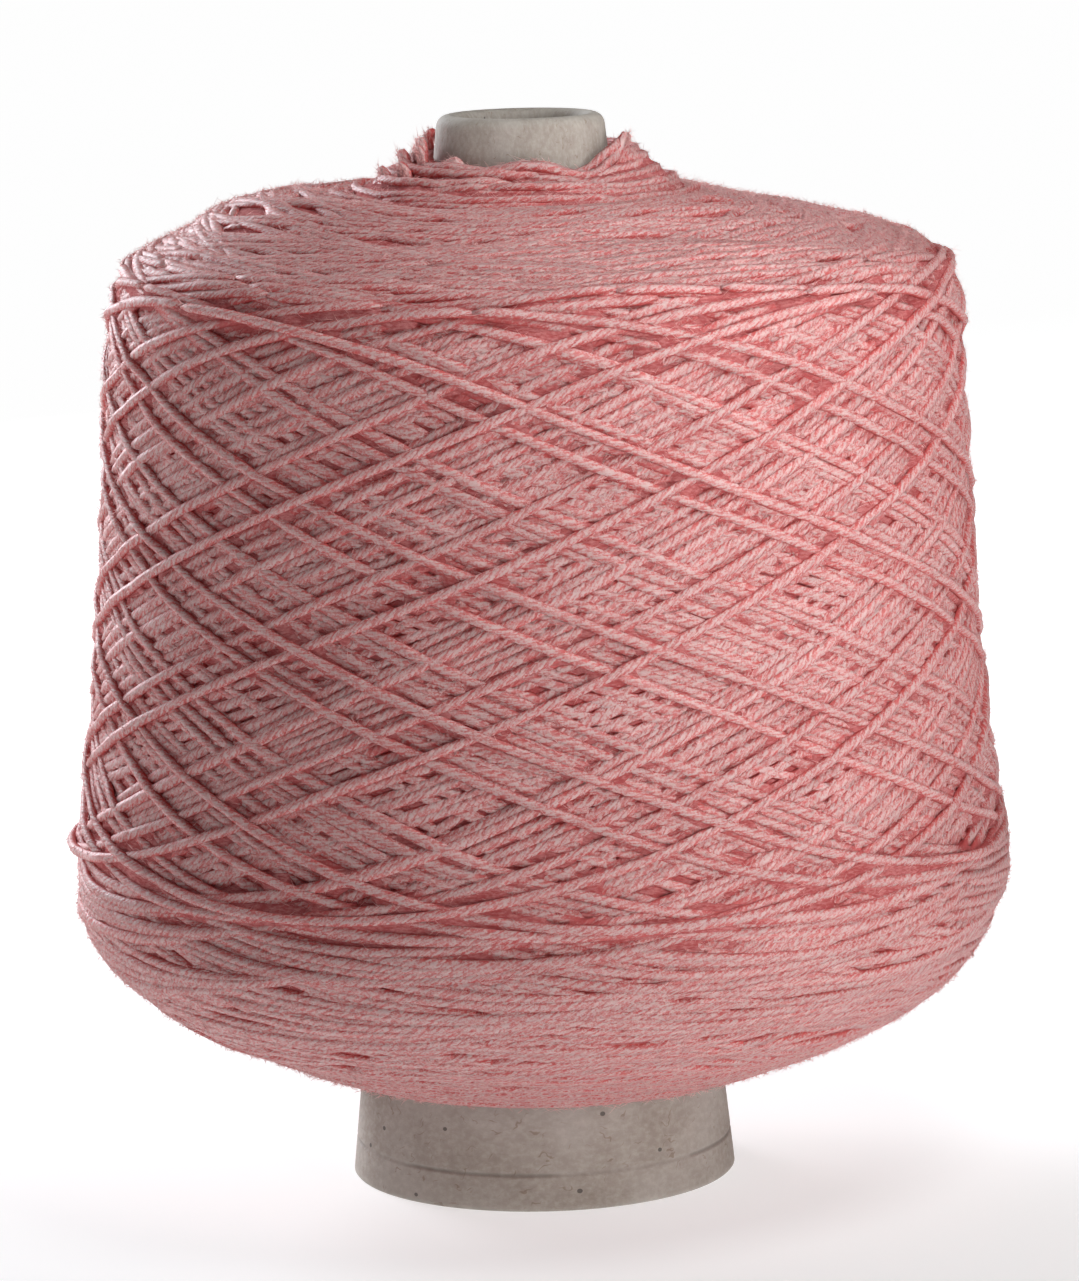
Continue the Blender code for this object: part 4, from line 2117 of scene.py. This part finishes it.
@dataclass
class Studio:
    """White ground, soft light and the camera at the photograph's viewing angle.

    The sky gives almost no light. Where a low view looks past the ground it shows a white wall.
    """

    ground_size: float = 60.0
    sky: Colour = (0.96, 0.98, 1.0)
    sky_strength: float = 0.02
    wall: Colour = (1.0, 1.0, 1.0)
    wall_strength: float = 0.98
    aim: tuple[float, float, float] = (0.0, 0.0, 0.085)
    boxes: tuple[SoftBox, ...] = (
        SoftBox("key_strip", -56.0, 2.0, 0.30, 0.05, 0.30, 0.086, (1.0, 0.99, 0.98), 64.0),
        SoftBox("key_low", -47.0, -5.0, 0.25, 0.06, 0.06, 0.036, (1.0, 0.99, 0.98)),
        SoftBox("key_high", -50.0, 55.0, 0.30, 0.12, 0.12, 0.41, (1.0, 1.0, 1.0)),
        SoftBox("fill_left", 172.0, 20.0, 0.40, 0.10, 0.36, 0.28, (0.97, 0.98, 1.0)),
        SoftBox("rim_left", 124.0, 16.0, 0.85, 0.30, 0.30, 9.0, (0.90, 0.94, 1.0)),
    )
    camera_place: tuple[float, float, float] = (0.0011, -0.927, 0.240)
    camera_pitch: float = math.radians(9.4437)
    camera_roll: float = math.radians(1.3192)
    focal_pixels: float = 5883.3
    sensor: float = 36.0

    def build_ground(self) -> None:
        """Add the ground."""
        half = 0.5 * self.ground_size
        points = half * np.array([[-1, -1, 0], [1, -1, 0], [1, 1, 0], [-1, 1, 0]])
        ground = piece_from_arrays("ground", points, np.arange(4), np.array([0]))
        ground.data.materials.append(GroundFinish().make())

    def build_light(self) -> None:
        """Add the faint even sky, the white wall that is seen instead of it, and the soft boxes."""
        world = bpy.data.worlds.new("studio_sky")
        world.use_nodes = True
        nodes, links = world.node_tree.nodes, world.node_tree.links
        both = nodes.new("ShaderNodeMixShader")
        links.new(nodes.new("ShaderNodeLightPath").outputs["Is Camera Ray"], both.inputs[0])
        backgrounds = (
            (nodes["Background"], self.sky, self.sky_strength),
            (nodes.new("ShaderNodeBackground"), self.wall, self.wall_strength),
        )
        for index, (node, colour, strength) in enumerate(backgrounds, start=1):
            node.inputs["Color"].default_value = (*colour, 1.0)
            node.inputs["Strength"].default_value = strength
            links.new(node.outputs[0], both.inputs[index])
        links.new(both.outputs[0], nodes["World Output"].inputs["Surface"])
        bpy.context.scene.world = world
        for box in self.boxes:
            box.build(Vector(self.aim))

    def build_camera(self) -> None:
        """Add the camera."""
        lens = bpy.data.cameras.new("camera")
        lens.sensor_width = self.sensor
        lens.sensor_fit = "AUTO"
        lens.lens = self.focal_pixels * self.sensor / PICTURE_HEIGHT
        lens.clip_start = 0.05
        lens.clip_end = 100.0
        camera = bpy.data.objects.new("camera", lens)
        tilt = Matrix.Rotation(0.5 * math.pi - self.camera_pitch, 4, "X")
        roll = Matrix.Rotation(-self.camera_roll, 4, "Z")
        camera.matrix_world = Matrix.Translation(self.camera_place) @ tilt @ roll
        bpy.context.scene.collection.objects.link(camera)
        bpy.context.scene.camera = camera

    def build(self) -> None:
        """Build the whole studio."""
        self.build_ground()
        self.build_light()
        self.build_camera()
        bpy.context.scene.view_settings.view_transform = "Standard"
        bpy.context.scene.view_settings.look = "None"


# ---- Assembly


def report(piece: Piece) -> None:
    """Log a piece's name and how many triangles it has.

    Args:
        piece: The piece.
    """
    corners = len(piece.data.loops)
    faces = len(piece.data.polygons)
    log.info("%s: %d triangles", piece.name, corners - 2 * faces)


def main() -> None:
    """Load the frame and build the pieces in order."""
    logging.basicConfig(level=logging.INFO, format="%(name)s: %(message)s")
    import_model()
    PaperCone().build()
    YarnPackage().build()
    Studio().build()
    bpy.context.view_layer.update()


if __name__ == "__main__":
    main()
